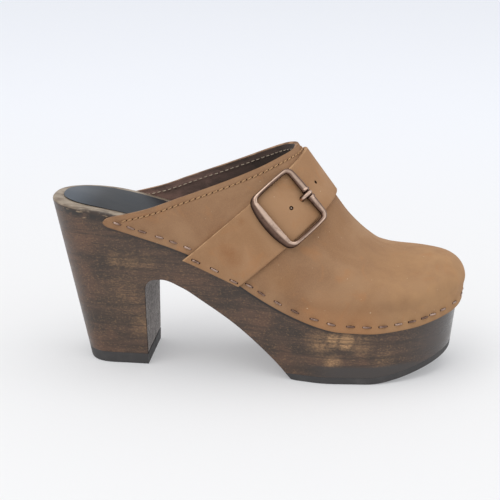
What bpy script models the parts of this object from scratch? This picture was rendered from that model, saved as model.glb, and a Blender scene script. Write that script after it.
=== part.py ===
"""Platform clog for the right foot: a carved wood sole with a tall block heel, a lasted leather upper that is
open at the heel, and an instep strap through a large frame buckle.

Sizes are millimetres. While it is modelled, x runs from the back of the heel to the toe, y from the lateral
(outer) side to the medial side and z up from the floor. A root empty then sets the origin under the middle.
"""

import functools
import math
from typing import NamedTuple

import bmesh
import bpy
from mathutils import Vector

MM = 0.001

# Driving sizes of the sole
HEEL_ARC_X = 38.0       # where the round heel seat runs into the straight sides
TOE_ARC_X = 190.0       # where the sides start to round into the toe
TOE_X = 237.0           # tip of the wood at the footbed
HEEL_ROUNDNESS = 2.4    # superellipse power of the heel seat
TOE_ROUNDNESS = 2.1     # superellipse power of the toe
BACK_SLOPE = 0.228      # heel back leans forward this much per mm of drop
TOE_SLOPE = 0.115       # toe front leans back this much per mm of drop
RIM_RADIUS = 1.4        # rounded edge of the footbed
FOOT_EDGE = 0.8         # small chamfer along the foot of the wood
LIFT_THICKNESS = 6.5
OUTSOLE_THICKNESS = 4.0
SPRING_X = 186.0        # the toe spring starts here
SPRING_RISE = 11.0      # and lifts the tip of the outsole this much
SPRING_POWER = 1.6
SEAT_GAP = 0.3          # clearance between pieces that are glued or lasted together

# Insole
INSOLE_INSET = 7.4
INSOLE_SHIFT = 3.2      # it lies this much to the medial side
INSOLE_THICKNESS = 1.0
INSOLE_CORNER = 0.4
INSOLE_GAP = 0.15

# Upper and strap
LEATHER = 2.3           # thickness of the upper
LAST_GAP = 0.4          # clearance between upper and wood
TAIL_X = 35.0           # rear tip of the quarters
TAIL_ROUND = 3.6        # length over which the tail tip is rounded
THROAT_X = 142.5        # front end of the collar, on the crest
CREST_SLOPE = 1.4       # steepness of the instep at the throat
POLE_X = 222.0          # the toe ribs meet the crest here
RIB_STEPS = 11          # faces along one rib, from lower edge to crest or collar

STRAP_TILT = math.radians(41.5)   # the strap rises at this angle in side view
STRAP_REAR = 3.2                  # distance of the rear edge from the heel corner, across the strap
STRAP_FRONT = 34.2
STRAP_REAR_END_X = 80.6           # x of the strap's two lower corners
STRAP_FRONT_END_X = 113.2
STRAP_THICKNESS = 2.2
STRAP_GAP = 0.35
STRAP_ACROSS = 6                  # faces across the strap
STRAP_ALONG = 17                  # faces from a lower end to the crest

# Buckle, placed on the strap by mm across it and mm down from the crest on the lateral side
BUCKLE_ACROSS = 19.4              # middle of the frame
BUCKLE_UPPER = 30.3               # middle of the bar that carries the prong tip
BUCKLE_LOWER = 55.5               # middle of the heavy lower bar
BUCKLE_SIDE = 16.6                # middle of a side bar, from the middle of the frame
BUCKLE_CORNER = 3.6               # corner radius along the middle of the bars
BUCKLE_SKEW = 0.1                 # how much further down the bars lie per mm across
NOTCH_REACH = 3.4                 # half length of the notch for the prong
NOTCH_SHARE = 0.55                # bar height that is left in the notch
BUCKLE_SIDES = 10                 # faces around a bar
PRONG_ACROSS = 20.4
PRONG_RADIUS = 1.2
HARDWARE_GAP = 0.3


class SoleRow(NamedTuple):
    """One section of the sole: half widths and footbed height, and how much the side leans in per mm of drop."""

    x: float
    lateral: float
    medial: float
    top: float
    lean: float


SOLE_ROWS = (
    SoleRow(0.0, 32.0, 32.0, 95.5, 0.100),
    SoleRow(33.0, 32.5, 32.0, 92.0, 0.100),
    SoleRow(60.0, 33.0, 32.0, 86.0, 0.100),
    SoleRow(85.0, 34.5, 32.0, 76.5, 0.100),
    SoleRow(105.0, 37.5, 34.0, 65.5, 0.100),
    SoleRow(125.0, 42.0, 38.0, 54.0, 0.090),
    SoleRow(145.0, 46.0, 41.0, 46.5, 0.075),
    SoleRow(165.0, 48.3, 43.5, 43.0, 0.035),
    SoleRow(185.0, 48.0, 44.0, 42.3, 0.035),
    SoleRow(205.0, 45.0, 42.8, 42.9, 0.050),
    SoleRow(220.0, 43.0, 42.0, 44.3, 0.060),
    SoleRow(237.0, 42.0, 41.0, 47.4, 0.060),
)


class ArchRow(NamedTuple):
    """One point of the cut between heel and platform, in side view."""

    x: float
    z: float


ARCH_ROWS = (
    ArchRow(58.6, -6.0),
    ArchRow(58.4, 10.0),
    ArchRow(57.6, 46.0),
    ArchRow(59.0, 50.6),
    ArchRow(62.5, 52.8),
    ArchRow(67.5, 53.2),
    ArchRow(79.0, 49.2),
    ArchRow(91.0, 42.0),
    ArchRow(104.0, 34.0),
    ArchRow(116.0, 25.6),
    ArchRow(128.0, 15.6),
    ArchRow(137.0, 7.0),
    ArchRow(148.0, -6.0),
)


class UpperRow(NamedTuple):
    """One section of the upper: its lower edge, the height of its widest point, the swell there and the
    power that shapes the arch over the foot (1 is a parabola, 2 an ellipse)."""

    x: float
    low: float
    shoulder: float
    swell: float
    power: float


UPPER_ROWS = (
    UpperRow(33.0, 85.6, 93.0, 0.0, 1.15),
    UpperRow(53.0, 79.8, 89.5, 0.0, 1.15),
    UpperRow(83.0, 70.4, 79.5, 0.0, 1.15),
    UpperRow(100.0, 61.9, 70.5, 0.0, 1.15),
    UpperRow(112.0, 55.3, 64.0, 0.2, 1.15),
    UpperRow(122.0, 49.6, 59.0, 0.4, 1.15),
    UpperRow(134.0, 43.5, 54.5, 0.7, 1.15),
    UpperRow(146.0, 38.4, 51.5, 1.0, 1.18),
    UpperRow(158.0, 34.5, 49.8, 1.2, 1.28),
    UpperRow(170.0, 32.0, 49.0, 1.3, 1.45),
    UpperRow(187.0, 31.3, 49.0, 1.3, 1.67),
    UpperRow(202.0, 32.4, 49.7, 1.1, 1.74),
    UpperRow(212.0, 33.4, 50.3, 1.0, 1.90),
    UpperRow(220.0, 35.0, 51.0, 0.9, 1.98),
    UpperRow(228.0, 36.9, 51.7, 0.8, 1.92),
    UpperRow(233.0, 38.2, 52.2, 0.8, 1.85),
    UpperRow(237.0, 40.2, 52.5, 0.8, 1.82),
)


class CollarRow(NamedTuple):
    """One point of the collar edge, in side view."""

    x: float
    z: float


COLLAR_ROWS = (
    CollarRow(33.0, 88.2),
    CollarRow(45.0, 91.4),
    CollarRow(60.0, 95.4),
    CollarRow(76.0, 101.5),
    CollarRow(104.0, 112.3),
    CollarRow(123.0, 120.0),
    CollarRow(136.0, 125.6),
    CollarRow(THROAT_X, 127.8),
)


class CrestRow(NamedTuple):
    """One point of the crest of the vamp: its height, and how far it lies to the medial side."""

    x: float
    z: float
    y: float


CREST_ROWS = (
    CrestRow(THROAT_X, 127.8, 1.0),
    CrestRow(150.0, 117.3, 1.2),
    CrestRow(158.0, 106.2, 1.5),
    CrestRow(165.0, 96.6, 1.8),
    CrestRow(172.0, 87.2, 2.1),
    CrestRow(180.0, 78.6, 2.4),
    CrestRow(185.0, 74.3, 2.6),
    CrestRow(190.0, 70.7, 2.8),
    CrestRow(196.0, 68.3, 3.0),
    CrestRow(203.0, 67.6, 3.2),
    CrestRow(211.0, 67.4, 3.5),
    CrestRow(POLE_X, 67.1, 3.8),
)


class AxisRow(NamedTuple):
    """One point of the sole's centre line, which swings to the medial side at the toe."""

    x: float
    y: float


AXIS_ROWS = (
    AxisRow(0.0, 0.0),
    AxisRow(150.0, 0.0),
    AxisRow(190.0, 1.5),
    AxisRow(237.0, 4.0),
)


class BarRow(NamedTuple):
    """Half width and half height of the buckle's bars, where x is mm down from the crest."""

    x: float
    width: float
    height: float


BAR_ROWS = (
    BarRow(BUCKLE_UPPER, 1.9, 1.6),
    BarRow(BUCKLE_UPPER + 4.0, 1.15, 1.3),
    BarRow(BUCKLE_LOWER - 4.5, 1.15, 1.3),
    BarRow(BUCKLE_LOWER, 2.7, 1.9),
)


class ProngRow(NamedTuple):
    """One point of the prong: mm down from the crest, height of its middle over the strap, share of its radius."""

    down: float
    out: float
    share: float


PRONG_ROWS = (
    ProngRow(35.4, 1.5, 0.9),
    ProngRow(34.2, 2.4, 1.0),
    ProngRow(32.6, 3.4, 1.0),
    ProngRow(30.4, 3.9, 0.95),
    ProngRow(28.8, 3.7, 0.78),
    ProngRow(28.0, 3.4, 0.5),
)


def lookup(rows, column, x):
    """Reads a column of a table at x, on a smooth curve that passes through the rows and never overshoots."""
    xs = [row.x for row in rows]
    vs = [getattr(row, column) for row in rows]
    if x <= xs[0]:
        return vs[0]
    if x >= xs[-1]:
        return vs[-1]
    grades = [(vs[k + 1] - vs[k]) / (xs[k + 1] - xs[k]) for k in range(len(xs) - 1)]

    def slope(k):
        if k == 0:
            return grades[0]
        if k == len(grades):
            return grades[-1]
        if grades[k - 1] * grades[k] <= 0.0:
            return 0.0
        return 2.0 * grades[k - 1] * grades[k] / (grades[k - 1] + grades[k])

    k = max(i for i in range(len(xs) - 1) if xs[i] <= x)
    span = xs[k + 1] - xs[k]
    t = (x - xs[k]) / span
    ease = t * t * (3.0 - 2.0 * t)
    rise = span * (t * (1.0 - t) ** 2 * slope(k) - t * t * (1.0 - t) * slope(k + 1))
    return vs[k] + (vs[k + 1] - vs[k]) * ease + rise


class Station(NamedTuple):
    """A place along the shoe: its x at the footbed, how far it follows the heel back and the toe tip as they
    lean or grow, and the share of the half width that the round ends leave."""

    x: float
    heel: float
    toe: float
    width: float


def heel_station(turn):
    """A station on the round heel, from 0 at the back to a quarter turn at the straight sides."""
    reach = math.cos(turn) ** (2.0 / HEEL_ROUNDNESS)
    return Station(HEEL_ARC_X * (1.0 - reach), reach, 0.0, math.sin(turn) ** (2.0 / HEEL_ROUNDNESS))


def side_station(x):
    """A station on the sides, between the round ends."""
    return Station(x, 0.0, 0.0, 1.0)


def toe_station(turn):
    """A station on the round toe, from 0 at the sides to a quarter turn at the tip."""
    reach = math.sin(turn) ** (2.0 / TOE_ROUNDNESS)
    width = max(0.0, math.cos(turn)) ** (2.0 / TOE_ROUNDNESS)
    return Station(TOE_ARC_X + (TOE_X - TOE_ARC_X) * reach, 0.0, reach, width)


QUARTER = math.pi / 2.0
HEEL_TURNS = 9
TOE_TURNS = 11
TAIL_XS = (TAIL_X, 35.4, 36.0, 36.9)
QUARTER_XS = (HEEL_ARC_X, 45.0, 52.0, 60.0, 68.0, 76.0, 84.0, 92.0, 100.0, 107.0, 113.5)
THROAT_STEPS = (23.5, 17.0, 12.0, 8.0, 5.0, 2.8, 1.2, 0.3, 0.0)
VAMP_XS = (147.0, 152.5, 158.0, 164.0, 170.0, 176.0, 183.0)

HEEL_STATIONS = [heel_station(QUARTER * k / HEEL_TURNS) for k in range(HEEL_TURNS)]
QUARTER_STATIONS = [side_station(x) for x in QUARTER_XS]
THROAT_STATIONS = [side_station(THROAT_X - step) for step in THROAT_STEPS]
VAMP_STATIONS = [side_station(x) for x in VAMP_XS]
TOE_STATIONS = [toe_station(QUARTER * k / TOE_TURNS) for k in range(TOE_TURNS)]
TOE_STATIONS.append(Station(TOE_X, 0.0, 1.0, 0.0))
SIDE_STATIONS = QUARTER_STATIONS + THROAT_STATIONS + VAMP_STATIONS
SOLE_STATIONS = HEEL_STATIONS + SIDE_STATIONS + TOE_STATIONS
LATERAL, MEDIAL = -1.0, 1.0


def footbed(x):
    """Height of the footbed at x."""
    return lookup(SOLE_ROWS, "top", x)


def body_width(side, x):
    """Half width of the footbed on one side, before the ends are rounded."""
    return lookup(SOLE_ROWS, "lateral" if side == LATERAL else "medial", x)


def flare(side, x):
    """How much longer a sideways step is than one square to the outline, where the outline runs at a slant."""
    step = 2.0
    grade = (body_width(side, x + step) - body_width(side, x - step)) / (2.0 * step)
    return math.hypot(1.0, grade)


def outline(station, side, drop, grow):
    """The side wall of the sole in plan, drop mm below the footbed and grow mm outside the wood."""
    x = station.x + station.heel * (BACK_SLOPE * drop - grow) + station.toe * (grow - TOE_SLOPE * drop)
    half = body_width(side, station.x) + grow * flare(side, station.x)
    half -= lookup(SOLE_ROWS, "lean", station.x) * drop
    y = lookup(AXIS_ROWS, "y", station.x) + side * half * station.width
    return x, y


def toe_spring(x):
    """Height of the underside of the outsole at x: flat on the floor, then rising to the toe."""
    if x <= SPRING_X:
        return 0.0
    return SPRING_RISE * ((x - SPRING_X) / (TOE_X - SPRING_X)) ** SPRING_POWER


def to_mesh(name, points, faces):
    """A mesh from points in mm and faces, with points that coincide joined into one."""
    shape = bmesh.new()
    corners = [shape.verts.new(Vector(p) * MM) for p in points]
    for face in faces:
        shape.faces.new([corners[k] for k in face])
    bmesh.ops.remove_doubles(shape, verts=shape.verts, dist=0.00001)
    mesh = bpy.data.meshes.new(name)
    shape.to_mesh(mesh)
    shape.free()
    return mesh


def ring_loft(name, rings):
    """Closed solid through rings of equal length. A first or last ring that is folded flat closes by itself."""
    size = len(rings[0])
    points = [p for ring in rings for p in ring]
    faces = []
    for r in range(len(rings) - 1):
        for k in range(size):
            nxt = (k + 1) % size
            faces.append((r * size + k, r * size + nxt, (r + 1) * size + nxt, (r + 1) * size + k))
    last = (len(rings) - 1) * size
    for first, order in ((0, -1), (last, 1)):
        ring = rings[first // size]
        if max(p[1] for p in ring) - min(p[1] for p in ring) > 1.0:
            faces.append(tuple(range(first, first + size))[::order])
    return to_mesh(name, points, faces)


class Level(NamedTuple):
    """One edge of a plate that follows the sole: its height at a station and its growth over the wood."""

    height: object
    grow: float


def plate(name, stations, levels):
    """Solid between levels, listed from top to bottom, with the sole's outline on both sides."""
    rings = []
    for station in stations:
        bed = footbed(station.x)
        ring = []
        for side, order in ((LATERAL, 1), (MEDIAL, -1)):
            for level in levels[::order]:
                z = level.height(station)
                ring.append((*outline(station, side, bed - z, level.grow), z))
        rings.append(ring)
    return ring_loft(name, rings)


def material(name, colour, roughness, metallic=0.0):
    """Plain finish of one piece."""
    finish = bpy.data.materials.new(name)
    finish.use_nodes = True
    shader = finish.node_tree.nodes["Principled BSDF"]
    shader.inputs["Base Color"].default_value = (*colour, 1.0)
    shader.inputs["Roughness"].default_value = roughness
    shader.inputs["Metallic"].default_value = metallic
    return finish


def add_piece(name, shape, finish, collection, root):
    """An object for one piece, with a mesh smooth shaded up to its creases."""
    crease = math.radians(35.0)
    obj = bpy.data.objects.new(name, shape)
    obj.data.materials.append(finish)
    if obj.type == "MESH":
        obj.data.shade_smooth()
        obj.data.set_sharp_from_angle(angle=crease)
    obj.parent = root
    collection.objects.link(obj)
    return obj


def arch_cutter(collection, root):
    """Prism that clears the arch between the heel breast and the platform."""
    reach = 70.0
    profile = [(row.x, row.z) for row in ARCH_ROWS]
    rings = [[(x, y, z) for x, z in profile] for y in (-reach, reach)]
    size = len(profile)
    points = rings[0] + rings[1]
    faces = [(k, (k + 1) % size, size + (k + 1) % size, size + k) for k in range(size)]
    faces.append(tuple(range(size))[::-1])
    faces.append(tuple(range(size, 2 * size)))
    mesh = to_mesh("arch_cutter", points, faces)
    shape = bmesh.new()
    shape.from_mesh(mesh)
    bmesh.ops.recalc_face_normals(shape, faces=shape.faces)
    shape.to_mesh(mesh)
    shape.free()
    cutter = bpy.data.objects.new("arch_cutter", mesh)
    cutter.hide_render = True
    cutter.display_type = "WIRE"
    cutter.parent = root
    collection.objects.link(cutter)
    return cutter


def cut(obj, cutter):
    """Takes the cutter's volume out of a piece."""
    boolean = obj.modifiers.new("arch", "BOOLEAN")
    boolean.operation = "DIFFERENCE"
    boolean.solver = "EXACT"
    boolean.object = cutter


def wood_foot(station):
    """Height of the underside of the wood, over the top lift at the heel and the outsole in front."""
    middle = 100.0
    if station.x < middle:
        return LIFT_THICKNESS + SEAT_GAP
    return OUTSOLE_THICKNESS + SEAT_GAP + toe_spring(station.x)


def wood_sole_mesh():
    """Sole block with a rounded footbed edge, before the arch is cut."""
    half_turn = RIM_RADIUS * (1.0 - math.sqrt(0.5))
    levels = [
        Level(lambda s: footbed(s.x), -RIM_RADIUS),
        Level(lambda s: footbed(s.x) - half_turn, -half_turn),
        Level(lambda s: footbed(s.x) - RIM_RADIUS, 0.0),
        Level(lambda s: 0.5 * (footbed(s.x) + wood_foot(s)), 0.0),
        Level(lambda s: wood_foot(s) + FOOT_EDGE, 0.0),
        Level(wood_foot, -FOOT_EDGE),
    ]
    return plate("wood_sole", SOLE_STATIONS, levels)


def heel_top_lift_mesh():
    """Rubber lift under the heel."""
    front = 64.0
    levels = [
        Level(lambda s: LIFT_THICKNESS, 0.0),
        Level(lambda s: FOOT_EDGE, 0.0),
        Level(lambda s: 0.0, -FOOT_EDGE),
    ]
    stations = HEEL_STATIONS + [s for s in QUARTER_STATIONS if s.x < front] + [side_station(front)]
    return plate("heel_top_lift", stations, levels)


def outsole_mesh():
    """Rubber outsole under the platform, with the toe spring."""
    rear = 134.0
    levels = [
        Level(lambda s: OUTSOLE_THICKNESS + toe_spring(s.x), 0.0),
        Level(lambda s: FOOT_EDGE + toe_spring(s.x), 0.0),
        Level(lambda s: toe_spring(s.x), -FOOT_EDGE),
    ]
    stations = [s for s in SIDE_STATIONS if s.x > rear] + TOE_STATIONS
    return plate("outsole", stations, levels)


def insole_mesh():
    """Thin sock on the footbed, set in from its edge."""
    levels = [
        Level(lambda s: footbed(s.x) + INSOLE_GAP + INSOLE_THICKNESS, -INSOLE_INSET - INSOLE_CORNER),
        Level(lambda s: footbed(s.x) + INSOLE_GAP + INSOLE_THICKNESS - INSOLE_CORNER, -INSOLE_INSET),
        Level(lambda s: footbed(s.x) + INSOLE_GAP, -INSOLE_INSET),
    ]
    return plate("insole", SOLE_STATIONS, levels)


def upper_value(column, x):
    """One column of the upper's table at x."""
    return lookup(UPPER_ROWS, column, x)


def crest_point(x):
    """The crest over x. Behind the throat it is the line that the instep would follow up the leg."""
    if x < THROAT_X:
        return CREST_ROWS[0].y, CREST_ROWS[0].z + CREST_SLOPE * (THROAT_X - x)
    return lookup(CREST_ROWS, "y", x), lookup(CREST_ROWS, "z", x)


def crest_x(station):
    """Where the rib of a station meets the crest: straight above, or drawn back to the pole around the toe."""
    if station.toe == 0.0:
        return station.x
    return TOE_ARC_X + (POLE_X - TOE_ARC_X) * station.toe


def wall_point(station, side, z):
    """Outside of the upper below its widest point: along the wood, then swelling."""
    bed = footbed(station.x)
    shoulder = upper_value("shoulder", station.x)
    t = min(1.0, max(0.0, (z - bed) / (shoulder - bed)))
    swell = upper_value("swell", station.x) * t * t * (3.0 - 2.0 * t)
    x, y = outline(station, side, max(0.0, bed - z), LEATHER + LAST_GAP + swell)
    return x, y, z


def arch_point(station, side, turn):
    """Outside of the upper above its widest point, from 0 there to a quarter turn at the crest."""
    shoulder = upper_value("shoulder", station.x)
    base = wall_point(station, side, shoulder)
    top_x = crest_x(station)
    top_y, top_z = crest_point(top_x)
    rise = math.sin(turn) ** (2.0 / upper_value("power", station.x))
    out = math.cos(turn)
    x = top_x + (base[0] - top_x) * out
    y = top_y + (base[1] - top_y) * out
    return x, y, shoulder + (top_z - shoulder) * rise


def collar_turn(station):
    """The turn at which a rib behind the throat reaches the collar."""
    shoulder = upper_value("shoulder", station.x)
    height = (lookup(COLLAR_ROWS, "z", station.x) - shoulder) / (crest_point(station.x)[1] - shoulder)
    return math.asin(min(1.0, height ** (upper_value("power", station.x) / 2.0)))


def rib(station, side):
    """Fine points up one rib of the upper, from the lower edge to the collar or the crest."""
    steps = 24
    low = upper_value("low", station.x)
    shoulder = upper_value("shoulder", station.x)
    end = lookup(COLLAR_ROWS, "z", station.x)
    if station.x < THROAT_X and end <= shoulder:
        middle = 0.5 * (low + end)
        near_tip = min(1.0, max(0.0, (station.x - TAIL_X) / TAIL_ROUND))
        blunt = 0.25
        half = 0.5 * (end - low) * max(blunt, math.sqrt(1.0 - (1.0 - near_tip) ** 2))
        return [wall_point(station, side, middle + half * (2.0 * k / steps - 1.0)) for k in range(steps + 1)]
    points = [wall_point(station, side, low + (shoulder - low) * k / steps) for k in range(steps)]
    turn = collar_turn(station) if station.x < THROAT_X else QUARTER
    points += [arch_point(station, side, turn * k / steps) for k in range(steps)]
    top_x = crest_x(station)
    if turn < QUARTER:
        points.append(arch_point(station, side, turn))
    else:
        points.append((top_x, *crest_point(top_x)))
    return points


def even_points(points, count):
    """Count + 1 points at even distances along a line of points."""
    runs = [0.0]
    for a, b in zip(points, points[1:]):
        runs.append(runs[-1] + math.dist(a, b))
    found = []
    k = 0
    for step in range(count + 1):
        want = runs[-1] * step / count
        while k < len(runs) - 2 and runs[k + 1] < want:
            k += 1
        share = (want - runs[k]) / (runs[k + 1] - runs[k])
        found.append(tuple(Vector(points[k]).lerp(Vector(points[k + 1]), share)))
    return found


def upper_mesh():
    """Outside of the upper as an open surface, ribs of both sides joined along the crest and at the toe."""
    stations = [side_station(x) for x in TAIL_XS] + SIDE_STATIONS + TOE_STATIONS
    points = []
    faces = []
    width = RIB_STEPS + 1
    for side in (LATERAL, MEDIAL):
        start = len(points)
        for station in stations:
            points += even_points(rib(station, side), RIB_STEPS)
        for r in range(len(stations) - 1):
            for k in range(RIB_STEPS):
                a = start + r * width + k
                face = (a, a + width, a + width + 1, a + 1)
                faces.append(face if side == LATERAL else face[::-1])
    return to_mesh("upper", points, faces)


def upper_half(side, x, z):
    """Sideways place of the upper's outside at x and height z, between heel and toe arcs."""
    station = side_station(x)
    shoulder = upper_value("shoulder", x)
    if z <= shoulder:
        return wall_point(station, side, z)[1]
    top_y, top_z = crest_point(x)
    height = min(1.0, (z - shoulder) / (top_z - shoulder))
    out = math.sqrt(1.0 - height ** upper_value("power", x))
    base = wall_point(station, side, shoulder)[1]
    return top_y + (base - top_y) * out


def strap_height(across, x):
    """Height at x of the slanted plane that lies a given distance across the strap."""
    return (math.sin(STRAP_TILT) * x - across) / math.cos(STRAP_TILT)


def strap_crest_x(across):
    """Where that plane meets the crest."""
    low, high = 120.0, 185.0
    for _ in range(40):
        middle = 0.5 * (low + high)
        if strap_height(across, middle) < crest_point(middle)[1]:
            low = middle
        else:
            high = middle
    return 0.5 * (low + high)


@functools.lru_cache(maxsize=None)
def strap_line(side, across):
    """Fine points on the upper from a lower end of the strap to the crest."""
    steps = 48
    share = (across - STRAP_REAR) / (STRAP_FRONT - STRAP_REAR)
    start = STRAP_REAR_END_X + (STRAP_FRONT_END_X - STRAP_REAR_END_X) * share
    end = strap_crest_x(across)
    points = []
    for k in range(steps):
        x = start + (end - start) * math.sin(QUARTER * k / steps)
        z = strap_height(across, x)
        points.append((x, upper_half(side, x, z), z))
    points.append((end, *crest_point(end)))
    return points


def strap_mesh():
    """Strap as an open surface on the upper, from the lateral lower edge over the crest to the medial one."""
    points = []
    for k in range(STRAP_ACROSS + 1):
        across = STRAP_REAR + (STRAP_FRONT - STRAP_REAR) * k / STRAP_ACROSS
        outer = even_points(strap_line(LATERAL, across), STRAP_ALONG)
        inner = even_points(strap_line(MEDIAL, across), STRAP_ALONG)
        points += outer + inner[-2::-1]
    length = 2 * STRAP_ALONG + 1
    faces = []
    for r in range(STRAP_ACROSS):
        for k in range(length - 1):
            a = r * length + k
            faces.append((a, a + length, a + length + 1, a + 1))
    return to_mesh("strap", points, faces)


def strap_point(across, down):
    """Point on the upper under the strap, down mm from the crest on the lateral side."""
    points = strap_line(LATERAL, across)[::-1]
    left = down
    for a, b in zip(points, points[1:]):
        step = math.dist(a, b)
        if left <= step:
            return Vector(a).lerp(Vector(b), left / step)
        left -= step
    return Vector(points[-1])


def on_strap(across, down, out):
    """Point at a height over the outside of the strap, and the direction square to the strap there."""
    step = 1.0
    over = strap_point(across + step, down) - strap_point(across - step, down)
    along = strap_point(across, down + step) - strap_point(across, down - step)
    square = along.cross(over).normalized()
    return strap_point(across, down) + square * (STRAP_GAP + STRAP_THICKNESS + out), square


def buckle_path():
    """Places (across, down) once around the middle of the frame, as a rounded rectangle."""
    bar_steps = 8
    side_steps = 5
    corner_steps = 5
    rear, front = BUCKLE_ACROSS - BUCKLE_SIDE, BUCKLE_ACROSS + BUCKLE_SIDE
    r = BUCKLE_CORNER
    centres = (
        (front - r, BUCKLE_UPPER + r, -QUARTER, side_steps),
        (front - r, BUCKLE_LOWER - r, 0.0, bar_steps),
        (rear + r, BUCKLE_LOWER - r, QUARTER, side_steps),
        (rear + r, BUCKLE_UPPER + r, 2.0 * QUARTER, bar_steps),
    )
    corners = []
    for across, down, start, steps in centres:
        turns = [start + QUARTER * k / corner_steps for k in range(corner_steps + 1)]
        corners.append(([(across + r * math.cos(t), down + r * math.sin(t)) for t in turns], steps))
    path = []
    for k, (arc, steps) in enumerate(corners):
        path += arc
        a, b = arc[-1], corners[(k + 1) % len(corners)][0][0]
        path += [(a[0] + (b[0] - a[0]) * n / steps, a[1] + (b[1] - a[1]) * n / steps) for n in range(1, steps)]
    return path


def notch_share(across, down):
    """Share of the bar's height: less in the notch in the middle of the upper bar."""
    if down > BUCKLE_UPPER + BUCKLE_CORNER:
        return 1.0
    t = min(1.0, abs(across - PRONG_ACROSS) / NOTCH_REACH)
    return NOTCH_SHARE + (1.0 - NOTCH_SHARE) * t * t * (3.0 - 2.0 * t)


def buckle_mesh():
    """Cast frame with bars of changing thickness, bent to lie on the strap."""
    path = buckle_path()
    middles = []
    for across, down in path:
        height = lookup(BAR_ROWS, "height", down) * notch_share(across, down)
        slant = BUCKLE_SKEW * (across - BUCKLE_ACROSS)
        point, square = on_strap(across, down + slant, HARDWARE_GAP + height)
        middles.append((point, square, lookup(BAR_ROWS, "width", down), height))
    points = []
    for k, (point, square, width, height) in enumerate(middles):
        along = middles[(k + 1) % len(middles)][0] - middles[k - 1][0]
        sideways = square.cross(along).normalized()
        for n in range(BUCKLE_SIDES):
            turn = 2.0 * math.pi * n / BUCKLE_SIDES
            points.append(tuple(point + sideways * width * math.cos(turn) + square * height * math.sin(turn)))
    faces = []
    count = len(middles)
    for k in range(count):
        for n in range(BUCKLE_SIDES):
            here, there = k * BUCKLE_SIDES, ((k + 1) % count) * BUCKLE_SIDES
            nxt = (n + 1) % BUCKLE_SIDES
            faces.append((here + nxt, there + nxt, there + n, here + n))
    return to_mesh("buckle", points, faces)


def prong_curve():
    """Short round prong that leaves the strap and lies over the notch of the frame."""
    curve = bpy.data.curves.new("buckle_prong", "CURVE")
    curve.dimensions = "3D"
    curve.bevel_depth = PRONG_RADIUS * MM
    curve.bevel_resolution = 2
    curve.use_fill_caps = True
    line = curve.splines.new("POLY")
    line.points.add(len(PRONG_ROWS) - 1)
    for place, row in zip(line.points, PRONG_ROWS):
        point, _ = on_strap(PRONG_ACROSS, row.down, row.out)
        place.co = (*(point * MM), 1.0)
        place.radius = row.share
    return curve


def add_wall(obj, thickness, offset):
    """Gives an open surface its real thickness, to the inside with offset -1 or the outside with 1."""
    wall = obj.modifiers.new("wall", "SOLIDIFY")
    wall.thickness = thickness * MM
    wall.offset = offset
    wall.use_even_offset = True
    wall.use_quality_normals = True


def lift_off(obj, gap):
    """Moves an open surface off what it lies on."""
    lift = obj.modifiers.new("lift", "DISPLACE")
    lift.direction = "NORMAL"
    lift.mid_level = 0.0
    lift.strength = gap * MM


def set_origin(root, pieces):
    """Moves the root so that the origin lies under the middle of the pieces, on the floor."""
    bpy.context.view_layer.update()
    graph = bpy.context.evaluated_depsgraph_get()
    corners = []
    for piece in pieces:
        solid = piece.evaluated_get(graph)
        corners += [solid.matrix_world @ v.co for v in solid.data.vertices]
    for axis in range(2):
        values = [c[axis] for c in corners]
        root.location[axis] = -0.5 * (min(values) + max(values))


def main():
    """Builds the clog."""
    for obj in list(bpy.data.objects):
        bpy.data.objects.remove(obj)
    scene = bpy.context.scene
    pieces = bpy.data.collections.new("platform_clog")
    cutters = bpy.data.collections.new("platform_clog_cutters")
    scene.collection.children.link(pieces)
    scene.collection.children.link(cutters)
    root = bpy.data.objects.new("platform_clog_root", None)
    pieces.objects.link(root)

    wood = material("stained_wood", (0.075, 0.048, 0.030), 0.42)
    rubber = material("black_rubber", (0.030, 0.030, 0.031), 0.75)
    sock = material("slate_sock", (0.050, 0.058, 0.068), 0.55)
    nubuck = material("tan_nubuck", (0.350, 0.205, 0.105), 0.80)
    bronze = material("antique_bronze", (0.300, 0.190, 0.140), 0.35, 1.0)

    arch = arch_cutter(cutters, root)
    wood_sole = add_piece("wood_sole", wood_sole_mesh(), wood, pieces, root)
    heel_top_lift = add_piece("heel_top_lift", heel_top_lift_mesh(), rubber, pieces, root)
    outsole = add_piece("outsole", outsole_mesh(), rubber, pieces, root)
    for piece in (wood_sole, heel_top_lift, outsole):
        cut(piece, arch)
    insole = add_piece("insole", insole_mesh(), sock, pieces, root)
    insole.location.y = INSOLE_SHIFT * MM
    upper = add_piece("upper", upper_mesh(), nubuck, pieces, root)
    add_wall(upper, LEATHER, -1.0)
    strap = add_piece("strap", strap_mesh(), nubuck, pieces, root)
    lift_off(strap, STRAP_GAP)
    add_wall(strap, STRAP_THICKNESS, 1.0)
    buckle = add_piece("buckle", buckle_mesh(), bronze, pieces, root)
    add_piece("buckle_prong", prong_curve(), bronze, pieces, root)
    set_origin(root, [wood_sole, heel_top_lift, outsole, insole, upper, strap, buckle])


main()
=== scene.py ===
"""Looks of a platform clog for the right foot: carved wood sole with a block heel, stapled nubuck upper,
instep strap and large frame buckle, on a plain pale floor.

Shoe sizes are millimetres from the heel corner: x to the toe, y to the medial side, z up from the floor.
"""

import bisect
import logging
import math
from dataclasses import dataclass
from enum import Enum
from functools import lru_cache
from typing import Callable, Iterable, NamedTuple, Optional, Sequence

import bmesh
import bpy
from mathutils import Matrix, Vector, noise
from mathutils.bvhtree import BVHTree
from mathutils.kdtree import KDTree


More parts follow.
